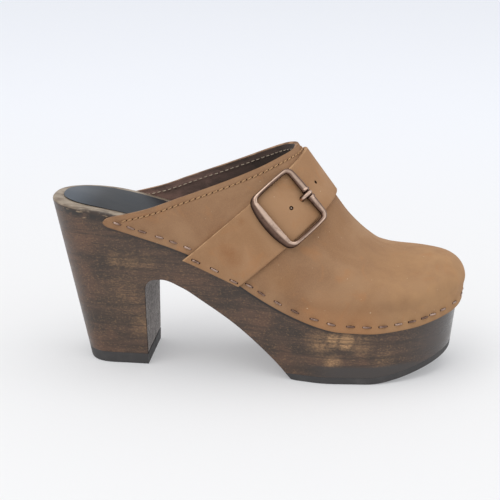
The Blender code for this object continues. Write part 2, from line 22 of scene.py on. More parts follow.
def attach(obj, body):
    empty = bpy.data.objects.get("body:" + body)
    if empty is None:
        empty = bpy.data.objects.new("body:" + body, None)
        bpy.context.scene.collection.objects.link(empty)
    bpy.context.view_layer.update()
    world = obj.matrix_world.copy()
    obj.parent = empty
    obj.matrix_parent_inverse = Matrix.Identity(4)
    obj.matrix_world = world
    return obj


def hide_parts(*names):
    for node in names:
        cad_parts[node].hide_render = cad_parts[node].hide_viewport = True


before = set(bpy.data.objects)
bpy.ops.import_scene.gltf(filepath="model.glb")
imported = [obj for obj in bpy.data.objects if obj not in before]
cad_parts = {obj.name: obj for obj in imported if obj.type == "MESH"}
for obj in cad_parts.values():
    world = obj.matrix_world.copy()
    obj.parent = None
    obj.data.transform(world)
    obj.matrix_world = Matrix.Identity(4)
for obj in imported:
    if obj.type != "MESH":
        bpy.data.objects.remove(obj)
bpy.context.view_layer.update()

LOG = logging.getLogger("platform_clog")
MM = 0.001
WELD = 4.0e-6
SLIVER = 2.0e-6
FULL_TURN = 2.0 * math.pi
QUARTER = math.pi / 2.0
ORIGIN = Vector((-120.336, 1.458, 0.0))     # place of the heel corner in the part's frame, mm
BODY = "root"

Pair = tuple[float, float]
Triple = tuple[float, float, float]
Spot = tuple[float, float, float, float]


class Side(Enum):
    """The two sides of the shoe, with the sign of y there."""

    LATERAL = -1.0
    MEDIAL = 1.0


RING_ORDER = ((Side.LATERAL, 1), (Side.MEDIAL, -1))


class Slot(Enum):
    """Material slots of the part."""

    WOOD = "stained_wood"
    RUBBER = "black_rubber"
    SOCK = "slate_sock"
    NUBUCK = "tan_nubuck"
    BRONZE = "antique_bronze"


def clamp(value: float) -> float:
    """A value held between 0 and 1."""
    return min(1.0, max(0.0, value))


def ease(t: float) -> float:
    """Soft step from 0 to 1."""
    return t * t * (3.0 - 2.0 * t)


def bell(distance: float, reach: float) -> float:
    """Soft bump: 1 at no distance, near 0 at twice the reach."""
    return math.exp(-(distance / reach) ** 2)


def evenly(start: float, end: float, steps: int) -> list[float]:
    """Even places from start to end, with both ends."""
    return [start + (end - start) * k / steps for k in range(steps + 1)]


def halved(low: float, high: float, rounds: int, ahead: Callable[[float], bool]) -> float:
    """Place between low and high up to which a test holds.

    Args:
        low: a place where it holds.
        high: a place where it doesn't.
        rounds: how often the span is halved.
        ahead: the test.

    Returns:
        The place.
    """
    for _ in range(rounds):
        middle = 0.5 * (low + high)
        if ahead(middle):
            low = middle
        else:
            high = middle
    return 0.5 * (low + high)


class Curve:
    """Smooth curve through (place, value) pairs that never overshoots them."""

    def __init__(self, places: Sequence[float], values: Sequence[float]) -> None:
        """Prepares the slopes.

        Args:
            places: rising places along the curve.
            values: value at each place.
        """
        self.places = list(places)
        self.values = list(values)
        grades = [
            (values[k + 1] - values[k]) / (places[k + 1] - places[k]) for k in range(len(places) - 1)
        ]
        self.slopes = [grades[0]]
        for before, after in zip(grades, grades[1:]):
            product = before * after
            self.slopes.append(2.0 * product / (before + after) if product > 0.0 else 0.0)
        self.slopes.append(grades[-1])

    def __call__(self, place: float) -> float:
        """Value at a place, held level outside the ends.

        Args:
            place: place along the curve.

        Returns:
            The value.
        """
        if place <= self.places[0]:
            return self.values[0]
        if place >= self.places[-1]:
            return self.values[-1]
        k = bisect.bisect_right(self.places, place) - 1
        span = self.places[k + 1] - self.places[k]
        t = (place - self.places[k]) / span
        rise = span * (t * (1.0 - t) ** 2 * self.slopes[k] - t * t * (1.0 - t) * self.slopes[k + 1])
        return self.values[k] + (self.values[k + 1] - self.values[k]) * ease(t) + rise


def curves(*rows: Sequence[float]) -> list[Curve]:
    """Curves through the columns of a table.

    Args:
        rows: place first, then one value for each curve.

    Returns:
        One curve for each value column.
    """
    columns = list(zip(*rows))
    return [Curve(columns[0], column) for column in columns[1:]]


LATERAL_HALF, MEDIAL_HALF, FOOTBED, LEAN = curves(
    (0.0, 32.0, 32.0, 95.5, 0.100),
    (33.0, 32.5, 32.0, 92.0, 0.100),
    (60.0, 33.0, 32.0, 86.0, 0.100),
    (85.0, 34.5, 32.0, 76.5, 0.100),
    (105.0, 37.5, 34.0, 65.5, 0.100),
    (125.0, 42.0, 38.0, 54.0, 0.090),
    (145.0, 46.0, 41.0, 46.5, 0.075),
    (165.0, 48.3, 43.5, 43.0, 0.035),
    (185.0, 48.0, 44.0, 42.3, 0.035),
    (205.0, 45.0, 42.8, 42.9, 0.050),
    (220.0, 43.0, 42.0, 44.3, 0.060),
    (237.0, 42.0, 41.0, 47.4, 0.060),
)
UPPER_LOW, SHOULDER, SWELL, POWER = curves(
    (33.0, 85.6, 93.0, 0.0, 1.15),
    (53.0, 79.8, 89.5, 0.0, 1.15),
    (83.0, 70.4, 79.5, 0.0, 1.15),
    (100.0, 61.9, 70.5, 0.0, 1.15),
    (112.0, 55.3, 64.0, 0.2, 1.15),
    (122.0, 49.6, 59.0, 0.4, 1.15),
    (134.0, 43.5, 54.5, 0.7, 1.15),
    (146.0, 38.4, 51.5, 1.0, 1.18),
    (158.0, 34.5, 49.8, 1.2, 1.28),
    (170.0, 32.0, 49.0, 1.3, 1.45),
    (187.0, 31.3, 49.0, 1.3, 1.67),
    (202.0, 32.4, 49.7, 1.1, 1.74),
    (212.0, 33.4, 50.3, 1.0, 1.90),
    (220.0, 35.0, 51.0, 0.9, 1.98),
    (228.0, 36.9, 51.7, 0.8, 1.92),
    (233.0, 38.2, 52.2, 0.8, 1.85),
    (237.0, 40.2, 52.5, 0.8, 1.82),
)
THROAT_X = 142.5
(COLLAR,) = curves(
    (33.0, 88.2),
    (45.0, 91.4),
    (60.0, 95.4),
    (76.0, 101.5),
    (104.0, 112.3),
    (123.0, 120.0),
    (136.0, 125.6),
    (THROAT_X, 127.8),
)
(MEDIAL_DROP,) = curves(
    (33.0, 1.2),
    (46.0, 1.4),
    (60.0, 1.1),
    (80.0, 0.9),
    (110.0, 0.8),
    (130.0, 0.35),
    (THROAT_X, 0.0),
)
CREST_Z, CREST_Y = curves(
    (THROAT_X, 127.8, 1.0),
    (150.0, 117.3, 1.2),
    (158.0, 106.2, 1.5),
    (165.0, 96.6, 1.8),
    (172.0, 87.2, 2.1),
    (180.0, 78.6, 2.4),
    (185.0, 74.3, 2.6),
    (190.0, 70.7, 2.8),
    (196.0, 68.3, 3.0),
    (203.0, 67.6, 3.2),
    (211.0, 67.4, 3.5),
    (222.0, 67.1, 3.8),
)
(AXIS,) = curves((0.0, 0.0), (150.0, 0.0), (190.0, 1.5), (237.0, 4.0))
ARCH = (
    (58.4, 10.0),
    (57.6, 46.0),
    (59.0, 50.6),
    (62.5, 52.8),
    (67.5, 53.2),
    (79.0, 49.2),
    (91.0, 42.0),
    (104.0, 34.0),
    (116.0, 25.6),
    (128.0, 15.6),
    (137.0, 7.0),
    (139.3, 4.3),
)


class Station(NamedTuple):
    """A place along the shoe: x at the footbed, and shares of heel back, toe tip and half width."""

    x: float
    heel: float
    toe: float
    width: float


@dataclass(frozen=True)
class Last:
    """The true form of sole and upper, as the part has it."""

    heel_arc: float = 38.0
    toe_arc: float = 190.0
    toe: float = 237.0
    heel_roundness: float = 2.4
    toe_roundness: float = 2.1
    back_slope: float = 0.228
    toe_slope: float = 0.115
    spring_start: float = 186.0
    spring_rise: float = 11.0
    spring_power: float = 1.6
    leather: float = 2.3
    last_gap: float = 0.4
    tail: float = 35.0
    tail_round: float = 3.6
    tail_least: float = 0.25
    rib_steps: int = 24
    crest_slope: float = 1.4
    pole: float = 222.0

    def heel_station(self, turn: float) -> Station:
        """A station on the round heel, 0 at the back."""
        reach = math.cos(turn) ** (2.0 / self.heel_roundness)
        width = math.sin(turn) ** (2.0 / self.heel_roundness)
        return Station(self.heel_arc * (1.0 - reach), reach, 0.0, width)

    def side_station(self, x: float) -> Station:
        """A station on the sides."""
        return Station(x, 0.0, 0.0, 1.0)

    def side_stations(self, start: float, end: float, steps: int) -> list[Station]:
        """Even stations on the sides, with both ends."""
        return [self.side_station(x) for x in evenly(start, end, steps)]

    def toe_station(self, turn: float) -> Station:
        """A station on the round toe, a quarter turn at the tip."""
        reach = math.sin(turn) ** (2.0 / self.toe_roundness)
        width = max(0.0, math.cos(turn)) ** (2.0 / self.toe_roundness) if turn < QUARTER else 0.0
        return Station(self.toe_arc + (self.toe - self.toe_arc) * reach, 0.0, reach, width)

    def heel_stations(self, count: int) -> list[Station]:
        """Stations round the heel, up to but without the straight sides."""
        return [self.heel_station(turn) for turn in evenly(0.0, QUARTER, count)[:-1]]

    def toe_stations(self, count: int) -> list[Station]:
        """Stations round the toe to its tip."""
        return [self.toe_station(turn) for turn in evenly(0.0, QUARTER, count)]

    def half(self, side: Side, x: float) -> float:
        """Half width of the footbed."""
        return (LATERAL_HALF if side is Side.LATERAL else MEDIAL_HALF)(x)

    def outline(self, station: Station, side: Side, drop: float, grow: float) -> Pair:
        """The side wall in plan.

        Args:
            station: place along the shoe.
            side: which side.
            drop: mm below the footbed.
            grow: mm outside the wood.

        Returns:
            x and y of the wall.
        """
        step = 2.0
        grade = (self.half(side, station.x + step) - self.half(side, station.x - step)) / (2.0 * step)
        x = station.x + station.heel * (self.back_slope * drop - grow)
        x += station.toe * (grow - self.toe_slope * drop)
        half = self.half(side, station.x) + grow * math.hypot(1.0, grade) - LEAN(station.x) * drop
        return x, AXIS(station.x) + side.value * half * station.width

    def spring(self, x: float) -> float:
        """Height of the underside of the outsole."""
        if x <= self.spring_start:
            return 0.0
        share = (x - self.spring_start) / (self.toe - self.spring_start)
        return self.spring_rise * share ** self.spring_power

    def crest(self, x: float) -> Pair:
        """y and z of the crest, or of the line it would follow up the leg."""
        if x < THROAT_X:
            return CREST_Y.values[0], CREST_Z.values[0] + self.crest_slope * (THROAT_X - x)
        return CREST_Y(x), CREST_Z(x)

    def crest_x(self, station: Station) -> float:
        """Where the rib of a station meets the crest."""
        if station.toe == 0.0:
            return station.x
        return self.toe_arc + (self.pole - self.toe_arc) * station.toe

    def wall(self, station: Station, side: Side, z: float) -> Vector:
        """Outside of the upper below its widest point.

        Args:
            station: place along the shoe.
            side: which side.
            z: height.

        Returns:
            The point.
        """
        bed = FOOTBED(station.x)
        swell = SWELL(station.x) * ease(clamp((z - bed) / (SHOULDER(station.x) - bed)))
        x, y = self.outline(station, side, max(0.0, bed - z), self.leather + self.last_gap + swell)
        return Vector((x, y, z))

    def rib(self, station: Station, side: Side) -> list[Vector]:
        """Fine points up one rib of the upper, from its lower edge to the collar or the crest.

        Args:
            station: place along the shoe.
            side: which side.

        Returns:
            The points from the bottom up.
        """
        steps = self.rib_steps
        low, shoulder, end = UPPER_LOW(station.x), SHOULDER(station.x), COLLAR(station.x)
        if side is Side.MEDIAL:
            end -= MEDIAL_DROP(station.x)
        if station.x < THROAT_X and end <= shoulder:
            near_tip = clamp((station.x - self.tail) / self.tail_round)
            half = 0.5 * (end - low) * max(self.tail_least, math.sqrt(1.0 - (1.0 - near_tip) ** 2))
            middle = 0.5 * (low + end)
            heights = evenly(middle - half, middle + half, 2 * steps)
            return [self.wall(station, side, z) for z in heights]
        points = [self.wall(station, side, z) for z in evenly(low, shoulder, steps)[:-1]]
        top_x = self.crest_x(station)
        top_y, top_z = self.crest(top_x)
        turn = QUARTER
        if station.x < THROAT_X:
            height = (end - shoulder) / (top_z - shoulder)
            turn = math.asin(min(1.0, height ** (POWER(station.x) / 2.0)))
        base = self.wall(station, side, shoulder)
        for t in evenly(0.0, turn, steps):
            out = math.cos(t)
            rise = math.sin(t) ** (2.0 / POWER(station.x))
            points.append(Vector((
                top_x + (base.x - top_x) * out,
                top_y + (base.y - top_y) * out,
                shoulder + (top_z - shoulder) * rise,
            )))
        return points

    def upper_y(self, side: Side, x: float, z: float) -> float:
        """Sideways place of the upper's outside.

        Args:
            side: which side.
            x: place along the shoe.
            z: height.

        Returns:
            y there.
        """
        station = self.side_station(x)
        shoulder = SHOULDER(x)
        if z <= shoulder:
            return self.wall(station, side, z).y
        top_y, top_z = self.crest(x)
        height = min(1.0, (z - shoulder) / (top_z - shoulder))
        base = self.wall(station, side, shoulder).y
        return top_y + (base - top_y) * math.sqrt(1.0 - height ** POWER(x))


LAST = Last()


def spread(points: Sequence[Vector], shares: Sequence[float]) -> list[Vector]:
    """Points at shares of the length of a line.

    Args:
        points: the line.
        shares: rising shares from 0 to 1.

    Returns:
        One point for each share.
    """
    runs = [0.0]
    for a, b in zip(points, points[1:]):
        runs.append(runs[-1] + (b - a).length)
    found = []
    k = 0
    for share in shares:
        want = runs[-1] * share
        while k < len(runs) - 2 and runs[k + 1] < want:
            k += 1
        step = runs[k + 1] - runs[k]
        found.append(points[k].lerp(points[k + 1], (want - runs[k]) / step if step > 0.0 else 0.0))
    return found


def run_length(points: Sequence[Vector]) -> float:
    """Length of a line."""
    return sum((b - a).length for a, b in zip(points, points[1:]))


def crowded(count: int, crowd: float) -> list[float]:
    """Shares from 0 to 1 that lie closer together at both ends."""
    crowding = crowd / FULL_TURN
    return [share - crowding * math.sin(FULL_TURN * share) for share in evenly(0.0, 1.0, count)]


def oval(middle: Vector, long: Vector, wide: Vector, sides: int) -> list[Vector]:
    """Points round an oval.

    Args:
        middle: its middle.
        long: half axis to the first point.
        wide: half axis a quarter turn on.
        sides: number of points.

    Returns:
        The points in order.
    """
    turns = [FULL_TURN * k / sides for k in range(sides)]
    return [middle + long * math.cos(turn) + wide * math.sin(turn) for turn in turns]


def near_tree(points: Sequence[Vector]) -> KDTree:
    """Search tree for the nearest of some points.

    Args:
        points: the points.

    Returns:
        The tree.
    """
    tree = KDTree(len(points))
    for k, place in enumerate(points):
        tree.insert(place, k)
    tree.balance()
    return tree


class Shape:
    """Points in mm and faces with a finish number, gathered into one mesh."""

    def __init__(self) -> None:
        """Starts empty."""
        self.points: list[Vector] = []
        self.wear_and_painted_light: list[float] = []
        self.faces: list[tuple[int, ...]] = []
        self.slots: list[int] = []

    def point(self, place: Vector, wear_and_painted_light: float = 0.0) -> int:
        """Adds a point and returns its number."""
        self.points.append(Vector(place))
        self.wear_and_painted_light.append(wear_and_painted_light)
        return len(self.points) - 1

    def face(self, corners: Iterable[int], slot: int = 0) -> None:
        """Adds a face."""
        self.faces.append(tuple(corners))
        self.slots.append(slot)

    def rings(
        self,
        rings: Sequence[Sequence[Vector]],
        slot: Callable[[int, int], int] = lambda r, k: 0,
        wear_and_painted_light: Callable[[int, int], float] = lambda r, k: 0.0,
        looped: bool = False,
        capped: bool = True,
    ) -> None:
        """Adds a skin through closed rings of equal size.

        Args:
            rings: the rings in order.
            slot: finish number for ring r and place k.
            wear_and_painted_light: wear, soil and painted light for ring r and place k.
            looped: joins the last ring to the first.
            capped: closes both ends with a face.
        """
        size = len(rings[0])
        start = len(self.points)
        for r, ring in enumerate(rings):
            for k, place in enumerate(ring):
                self.point(place, wear_and_painted_light(r, k))
        count = len(rings)
        for r in range(count if looped else count - 1):
            here, there = start + r * size, start + ((r + 1) % count) * size
            for k in range(size):
                nxt = (k + 1) % size
                self.face((here + k, here + nxt, there + nxt, there + k), slot(r, k))
        if capped and not looped:
            self.face(range(start + size - 1, start - 1, -1), slot(0, 0))
            last = start + (count - 1) * size
            self.face(range(last, last + size), slot(count - 2, 0))

    def mesh(self, name: str, closed: bool = True, crease: float = 40.0) -> bpy.types.Mesh:
        """The mesh in metres in the part's frame.

        Args:
            name: name of the mesh.
            closed: turns all faces outward.
            crease: edges sharper than this many degrees stay sharp.

        Returns:
            The mesh, with its wear and painted light as a point attribute.
        """
        work = bmesh.new()
        layer = work.verts.layers.float.new("wear_and_painted_light")
        verts = []
        for place, wear_and_painted_light in zip(self.points, self.wear_and_painted_light):
            vert = work.verts.new((place + ORIGIN) * MM)
            vert[layer] = wear_and_painted_light
            verts.append(vert)
        for corners, slot in zip(self.faces, self.slots):
            face = work.faces.new([verts[k] for k in corners])
            face.material_index = slot
            face.smooth = True
        bmesh.ops.remove_doubles(work, verts=work.verts, dist=WELD)
        bmesh.ops.dissolve_degenerate(work, edges=work.edges, dist=SLIVER)
        if closed:
            bmesh.ops.recalc_face_normals(work, faces=work.faces)
        made = bpy.data.meshes.new(name)
        work.to_mesh(made)
        work.free()
        made.set_sharp_from_angle(angle=math.radians(crease))
        return made


def clad(mesh: bpy.types.Mesh, finishes: Iterable[bpy.types.Material]) -> None:
    """Gives a mesh its materials, in the order of its finish numbers."""
    for finish in finishes:
        mesh.materials.append(finish)


def place_piece(name: str, mesh: bpy.types.Mesh, stands_for: Sequence[str] = ()) -> None:
    """Puts a finished mesh into the scene as a piece of the shoe.

    Args:
        name: name of the piece.
        mesh: its mesh in metres.
        stands_for: CAD nodes that the piece replaces.
    """
    obj = bpy.data.objects.new(name, mesh)
    bpy.context.scene.collection.objects.link(obj)
    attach(obj, BODY)
    if stands_for:
        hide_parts(*stands_for)
    triangles = sum(len(face.vertices) - 2 for face in mesh.polygons)
    LOG.info("%s: %d triangles", name, triangles)


def place_shape(
    name: str, shape: Shape, finishes: Iterable[bpy.types.Material],
    stands_for: Sequence[str] = (), crease: float = 40.0,
) -> None:
    """Puts a closed shape into the scene as a piece of the shoe.

    Args:
        name: name of the piece.
        shape: its shape in mm.
        finishes: materials in the order of the shape's finish numbers.
        stands_for: CAD nodes that the piece replaces.
        crease: edges sharper than this many degrees stay sharp.
    """
    mesh = shape.mesh(name, crease=crease)
    clad(mesh, finishes)
    place_piece(name, mesh, stands_for)


def applied(obj: bpy.types.Object) -> bpy.types.Mesh:
    """Takes an object out of the scene and returns its mesh with the modifiers applied.

    Args:
        obj: the object.

    Returns:
        The new mesh.
    """
    bpy.context.view_layer.update()
    graph = bpy.context.evaluated_depsgraph_get()
    made = bpy.data.meshes.new_from_object(obj.evaluated_get(graph))
    bpy.data.objects.remove(obj)
    return made


def loose(mesh: bpy.types.Mesh) -> bpy.types.Object:
    """A mesh as a bare object in the scene, for modifiers."""
    obj = bpy.data.objects.new(mesh.name, mesh)
    bpy.context.scene.collection.objects.link(obj)
    return obj


Socket = bpy.types.NodeSocket
Rgb = Triple


def srgb(red: int, green: int, blue: int) -> Rgb:
    """A display colour as linear light.

    Args:
        red: 0 to 255.
        green: 0 to 255.
        blue: 0 to 255.

    Returns:
        The colour.
    """
    def channel(value: int) -> float:
        """One channel."""
        share = value / 255.0
        return share / 12.92 if share <= 0.04045 else ((share + 0.055) / 1.055) ** 2.4
    return channel(red), channel(green), channel(blue)


class Dresser:
    """Builds the node tree of one material."""

    def __init__(self, name: str) -> None:
        """Starts a material with a plain shader and object coordinates in metres.

        Args:
            name: the material's name.
        """
        self.material = bpy.data.materials.new(name)
        self.material.use_nodes = True
        self.tree = self.material.node_tree
        self.shader = self.tree.nodes["Principled BSDF"]
        self.place = self.tree.nodes.new("ShaderNodeTexCoord").outputs["Object"]

    def feed(self, socket: Socket, value: object) -> None:
        """Links or sets an input.

        Args:
            socket: the input.
            value: a node's output, or a number or colour.
        """
        if isinstance(value, bpy.types.NodeSocket):
            self.tree.links.new(value, socket)
        elif isinstance(value, tuple) and len(value) == 3 and socket.type == "RGBA":
            socket.default_value = (*value, 1.0)
        else:
            socket.default_value = value

    def set(self, **inputs: object) -> None:
        """Sets shader inputs, with underscores for spaces in their names."""
        for name, value in inputs.items():
            self.feed(self.shader.inputs[name.replace("_", " ")], value)

    def stretched(self, x: float, y: float, z: float) -> Socket:
        """Object coordinates with each axis scaled."""
        node = self.tree.nodes.new("ShaderNodeMapping")
        self.feed(node.inputs["Vector"], self.place)
        node.inputs["Scale"].default_value = (x, y, z)
        return node.outputs["Vector"]

    def noise(
        self, scale: float, detail: float = 3.0, rough: float = 0.5, vector: Optional[Socket] = None,
        swirl: float = 0.0,
    ) -> Socket:
        """Noise from 0 to 1.

        Args:
            scale: patches per metre.
            detail: number of finer layers.
            rough: strength of the finer layers.
            vector: coordinates, or the plain ones.
            swirl: distortion.

        Returns:
            The noise value.
        """
        node = self.tree.nodes.new("ShaderNodeTexNoise")
        self.feed(node.inputs["Vector"], vector or self.place)
        node.inputs["Scale"].default_value = scale
        node.inputs["Detail"].default_value = detail
        node.inputs["Roughness"].default_value = rough
        node.inputs["Distortion"].default_value = swirl
        return node.outputs["Fac"]

    def ramp(
        self, value: Socket, low: float, high: float, start: float = 0.0, end: float = 1.0,
    ) -> Socket:
        """A value mapped from low..high to start..end, held at the ends, with a soft step.

        Args:
            value: the value.
            low: where the step begins.
            high: where it ends.
            start: result up to low.
            end: result from high on.

        Returns:
            The mapped value.
        """
        node = self.tree.nodes.new("ShaderNodeMapRange")
        node.interpolation_type = "SMOOTHSTEP"
        for name, number in (("From Min", low), ("From Max", high), ("To Min", start), ("To Max", end)):
            node.inputs[name].default_value = number
        self.feed(node.inputs["Value"], value)
        return node.outputs["Result"]

    def mix(self, share: object, first: object, second: object, blend: str = "MIX") -> Socket:
        """Mixes two colours.

        Args:
            share: share of the second.
            first: first colour.
            second: second colour.
            blend: how they mix.

        Returns:
            The mixed colour.
        """
        node = self.tree.nodes.new("ShaderNodeMix")
        node.data_type = "RGBA"
        node.blend_type = blend
        self.feed(node.inputs[0], share)
        self.feed(node.inputs[6], first)
        self.feed(node.inputs[7], second)
        return node.outputs[2]

    def math(self, kind: str, first: object, second: object = 0.0) -> Socket:
        """Arithmetic on two values.

        Args:
            kind: the operation.
            first: first value.
            second: second value.

        Returns:
            The result.
        """
        node = self.tree.nodes.new("ShaderNodeMath")
        node.operation = kind
        self.feed(node.inputs[0], first)
        self.feed(node.inputs[1], second)
        return node.outputs[0]

    def times(self, first: object, second: object) -> Socket:
        """Product of two values."""
        return self.math("MULTIPLY", first, second)

    def near(self, x: float, y: float, z: float, reach: float) -> Socket:
        """1 at a spot of the shoe (mm) and 0 at reach mm from it.

        Args:
            x: along the shoe.
            y: to the medial side.
            z: up.
            reach: mm to where it ends.

        Returns:
            The nearness.
        """
        node = self.tree.nodes.new("ShaderNodeVectorMath")
        node.operation = "DISTANCE"
        self.feed(node.inputs[0], self.place)
        node.inputs[1].default_value = (Vector((x, y, z)) + ORIGIN) * MM
        return self.ramp(node.outputs["Value"], 0.0, reach * MM, 1.0, 0.0)

    def along(self, axis: str) -> Socket:
        """One object coordinate in metres."""
        node = self.tree.nodes.new("ShaderNodeSeparateXYZ")
        self.feed(node.inputs[0], self.place)
        return node.outputs[axis]

    def attribute(self, name: str) -> Socket:
        """A point attribute of the mesh."""
        node = self.tree.nodes.new("ShaderNodeAttribute")
        node.attribute_name = name
        return node.outputs["Fac"]

    def bump(
        self, height: Socket, distance: float, strength: float = 1.0, below: Optional[Socket] = None,
    ) -> Socket:
        """A normal from a height.

        Args:
            height: value from 0 to 1.
            distance: height of 1 in mm.
            strength: share of the effect.
            below: normal of a coarser bump.

        Returns:
            The normal.
        """
        node = self.tree.nodes.new("ShaderNodeBump")
        node.inputs["Strength"].default_value = strength
        node.inputs["Distance"].default_value = distance * MM
        self.feed(node.inputs["Height"], height)
        if below is not None:
            self.feed(node.inputs["Normal"], below)
        return node.outputs["Normal"]


class Finish:
    """A finish that lays out the nodes of its own material."""

    name: str

    def dress(self, d: Dresser) -> None:
        """Lays out the nodes.

        Args:
            d: dresser of the new material.
        """
        raise NotImplementedError

    def make(self) -> bpy.types.Material:
        """The material."""
        d = Dresser(self.name)
        self.dress(d)
        return d.material


@dataclass(frozen=True)
class NubuckFinish(Finish):
    """Tan nubuck with a short nap: mottled, paler at the toe, with dust specks, dark patches, and dirt
    with painted shade.

    A spot is x, y, z and reach in mm.
    """

    name: str = "tan_nubuck_nap"
    body: Rgb = srgb(152, 119, 91)
    dark: Rgb = srgb(137, 104, 79)
    warm: Rgb = srgb(163, 116, 79)
    ochre: Rgb = srgb(172, 134, 96)
    dust: Rgb = srgb(214, 194, 166)
    stain: Rgb = srgb(140, 104, 74)
    soil_and_shade: Rgb = srgb(92, 62, 42)
    stain_and_shade_spots: tuple[Spot, ...] = (
        (136.0, -46.0, 60.0, 17.0),
        (101.0, -40.0, 79.0, 12.0),
        (166.0, -30.0, 82.0, 16.0),
        (169.0, -13.0, 87.0, 15.0),
        (160.0, -18.0, 96.0, 12.0),
    )
    warm_spots: tuple[Spot, ...] = (
        (160.0, -50.0, 38.0, 22.0),
        (182.0, -49.0, 36.0, 20.0),
    )

    def dress(self, d: Dresser) -> None:
        """Lays out the nodes."""
        cloud = d.noise(34.0, 4.0, 0.55, swirl=0.6)
        patch = d.noise(95.0, 3.0, 0.6)
        nap = d.noise(1500.0, 3.0, 0.7)
        fine = d.noise(4200.0, 2.0, 0.6)
        colour = d.mix(d.ramp(cloud, 0.34, 0.68), self.dark, self.body)
        toe = d.ramp(d.along("X"), 0.028, 0.105, 0.0, 0.75)
        colour = d.mix(d.times(toe, d.ramp(patch, 0.25, 0.7, 0.45, 1.0)), colour, self.ochre)
        blush = d.noise(58.0, 4.0, 0.6, swirl=1.2)
        colour = d.mix(d.ramp(blush, 0.54, 0.74, 0.0, 0.5), colour, self.warm)
        blotch = d.ramp(patch, 0.3, 0.65, 0.2, 0.75)
        for spot in self.stain_and_shade_spots:
            colour = d.mix(d.times(d.near(*spot), blotch), colour, self.stain)
        for spot in self.warm_spots:
            colour = d.mix(d.times(d.near(*spot), 0.6), colour, self.warm)
        colour = d.mix(d.ramp(nap, 0.3, 0.75, 0.0, 0.3), colour, self.ochre)
        # dirt and painted shade: darker in the stitch groove, round the staples and along the lower edge
        colour = d.mix(d.times(d.attribute("wear_and_painted_light"), 0.7), colour, self.soil_and_shade)
        specks = d.ramp(d.noise(760.0, 0.0, 0.5), 0.85, 0.885, 0.0, 0.45)
        colour = d.mix(specks, colour, self.dust)
        soft = d.bump(patch, 0.35, 0.5)
        grain = d.bump(nap, 0.10, 0.55, soft)
        d.set(
            Base_Color=colour,
            Roughness=d.ramp(cloud, 0.3, 0.7, 0.92, 0.74),
            Normal=d.bump(fine, 0.05, 0.6, grain),
            Specular_IOR_Level=0.14,
            Sheen_Weight=0.03,
            Sheen_Roughness=0.45,
            Sheen_Tint=self.dust,
        )


@dataclass(frozen=True)
class LiningFinish(Finish):
    """Dark brown suede lining with a brushed nap, with painted shade deeper inside the shoe towards the
    front.
    """

    name: str = "brown_suede_lining"
    body: Rgb = srgb(130, 103, 94)
    dark: Rgb = srgb(94, 77, 71)
    tips: Rgb = srgb(136, 110, 98)
    deep: Rgb = srgb(62, 55, 50)

    def dress(self, d: Dresser) -> None:
        """Lays out the nodes."""
        brushed = d.noise(60.0, 4.0, 0.6, d.stretched(1.0, 1.0, 2.6), 0.8)
        nap = d.noise(1700.0, 3.0, 0.7)
        colour = d.mix(d.ramp(brushed, 0.35, 0.65), self.dark, self.body)
        colour = d.mix(d.ramp(nap, 0.35, 0.8, 0.0, 0.35), colour, self.tips)
        # painted shade: darker deeper inside the shoe, towards the front
        colour = d.mix(d.ramp(d.along("X"), -0.046, -0.01, 0.0, 0.62), colour, self.deep)
        d.set(
            Base_Color=colour,
            Roughness=d.ramp(brushed, 0.3, 0.7, 0.95, 0.85),
            Normal=d.bump(nap, 0.12, 0.7),
            Specular_IOR_Level=0.15,
            Sheen_Weight=0.25,
            Sheen_Roughness=0.5,
        )


@dataclass(frozen=True)
class CutEdgeFinish(Finish):
    """Raw cut edge of the leather: fibrous, a little darker or paler along its length."""

    name: str = "leather_cut_edge"
    body: Rgb = srgb(158, 124, 96)
    dark: Rgb = srgb(112, 84, 64)

    def dress(self, d: Dresser) -> None:
        """Lays out the nodes."""
        fibre = d.noise(900.0, 4.0, 0.7)
        worn = d.noise(140.0, 3.0, 0.6)
        d.set(
            Base_Color=d.mix(d.ramp(worn, 0.35, 0.65), self.dark, self.body),
            Roughness=d.ramp(worn, 0.3, 0.7, 0.92, 0.8),
            Normal=d.bump(fibre, 0.18, 0.7),
            Specular_IOR_Level=0.2,
        )


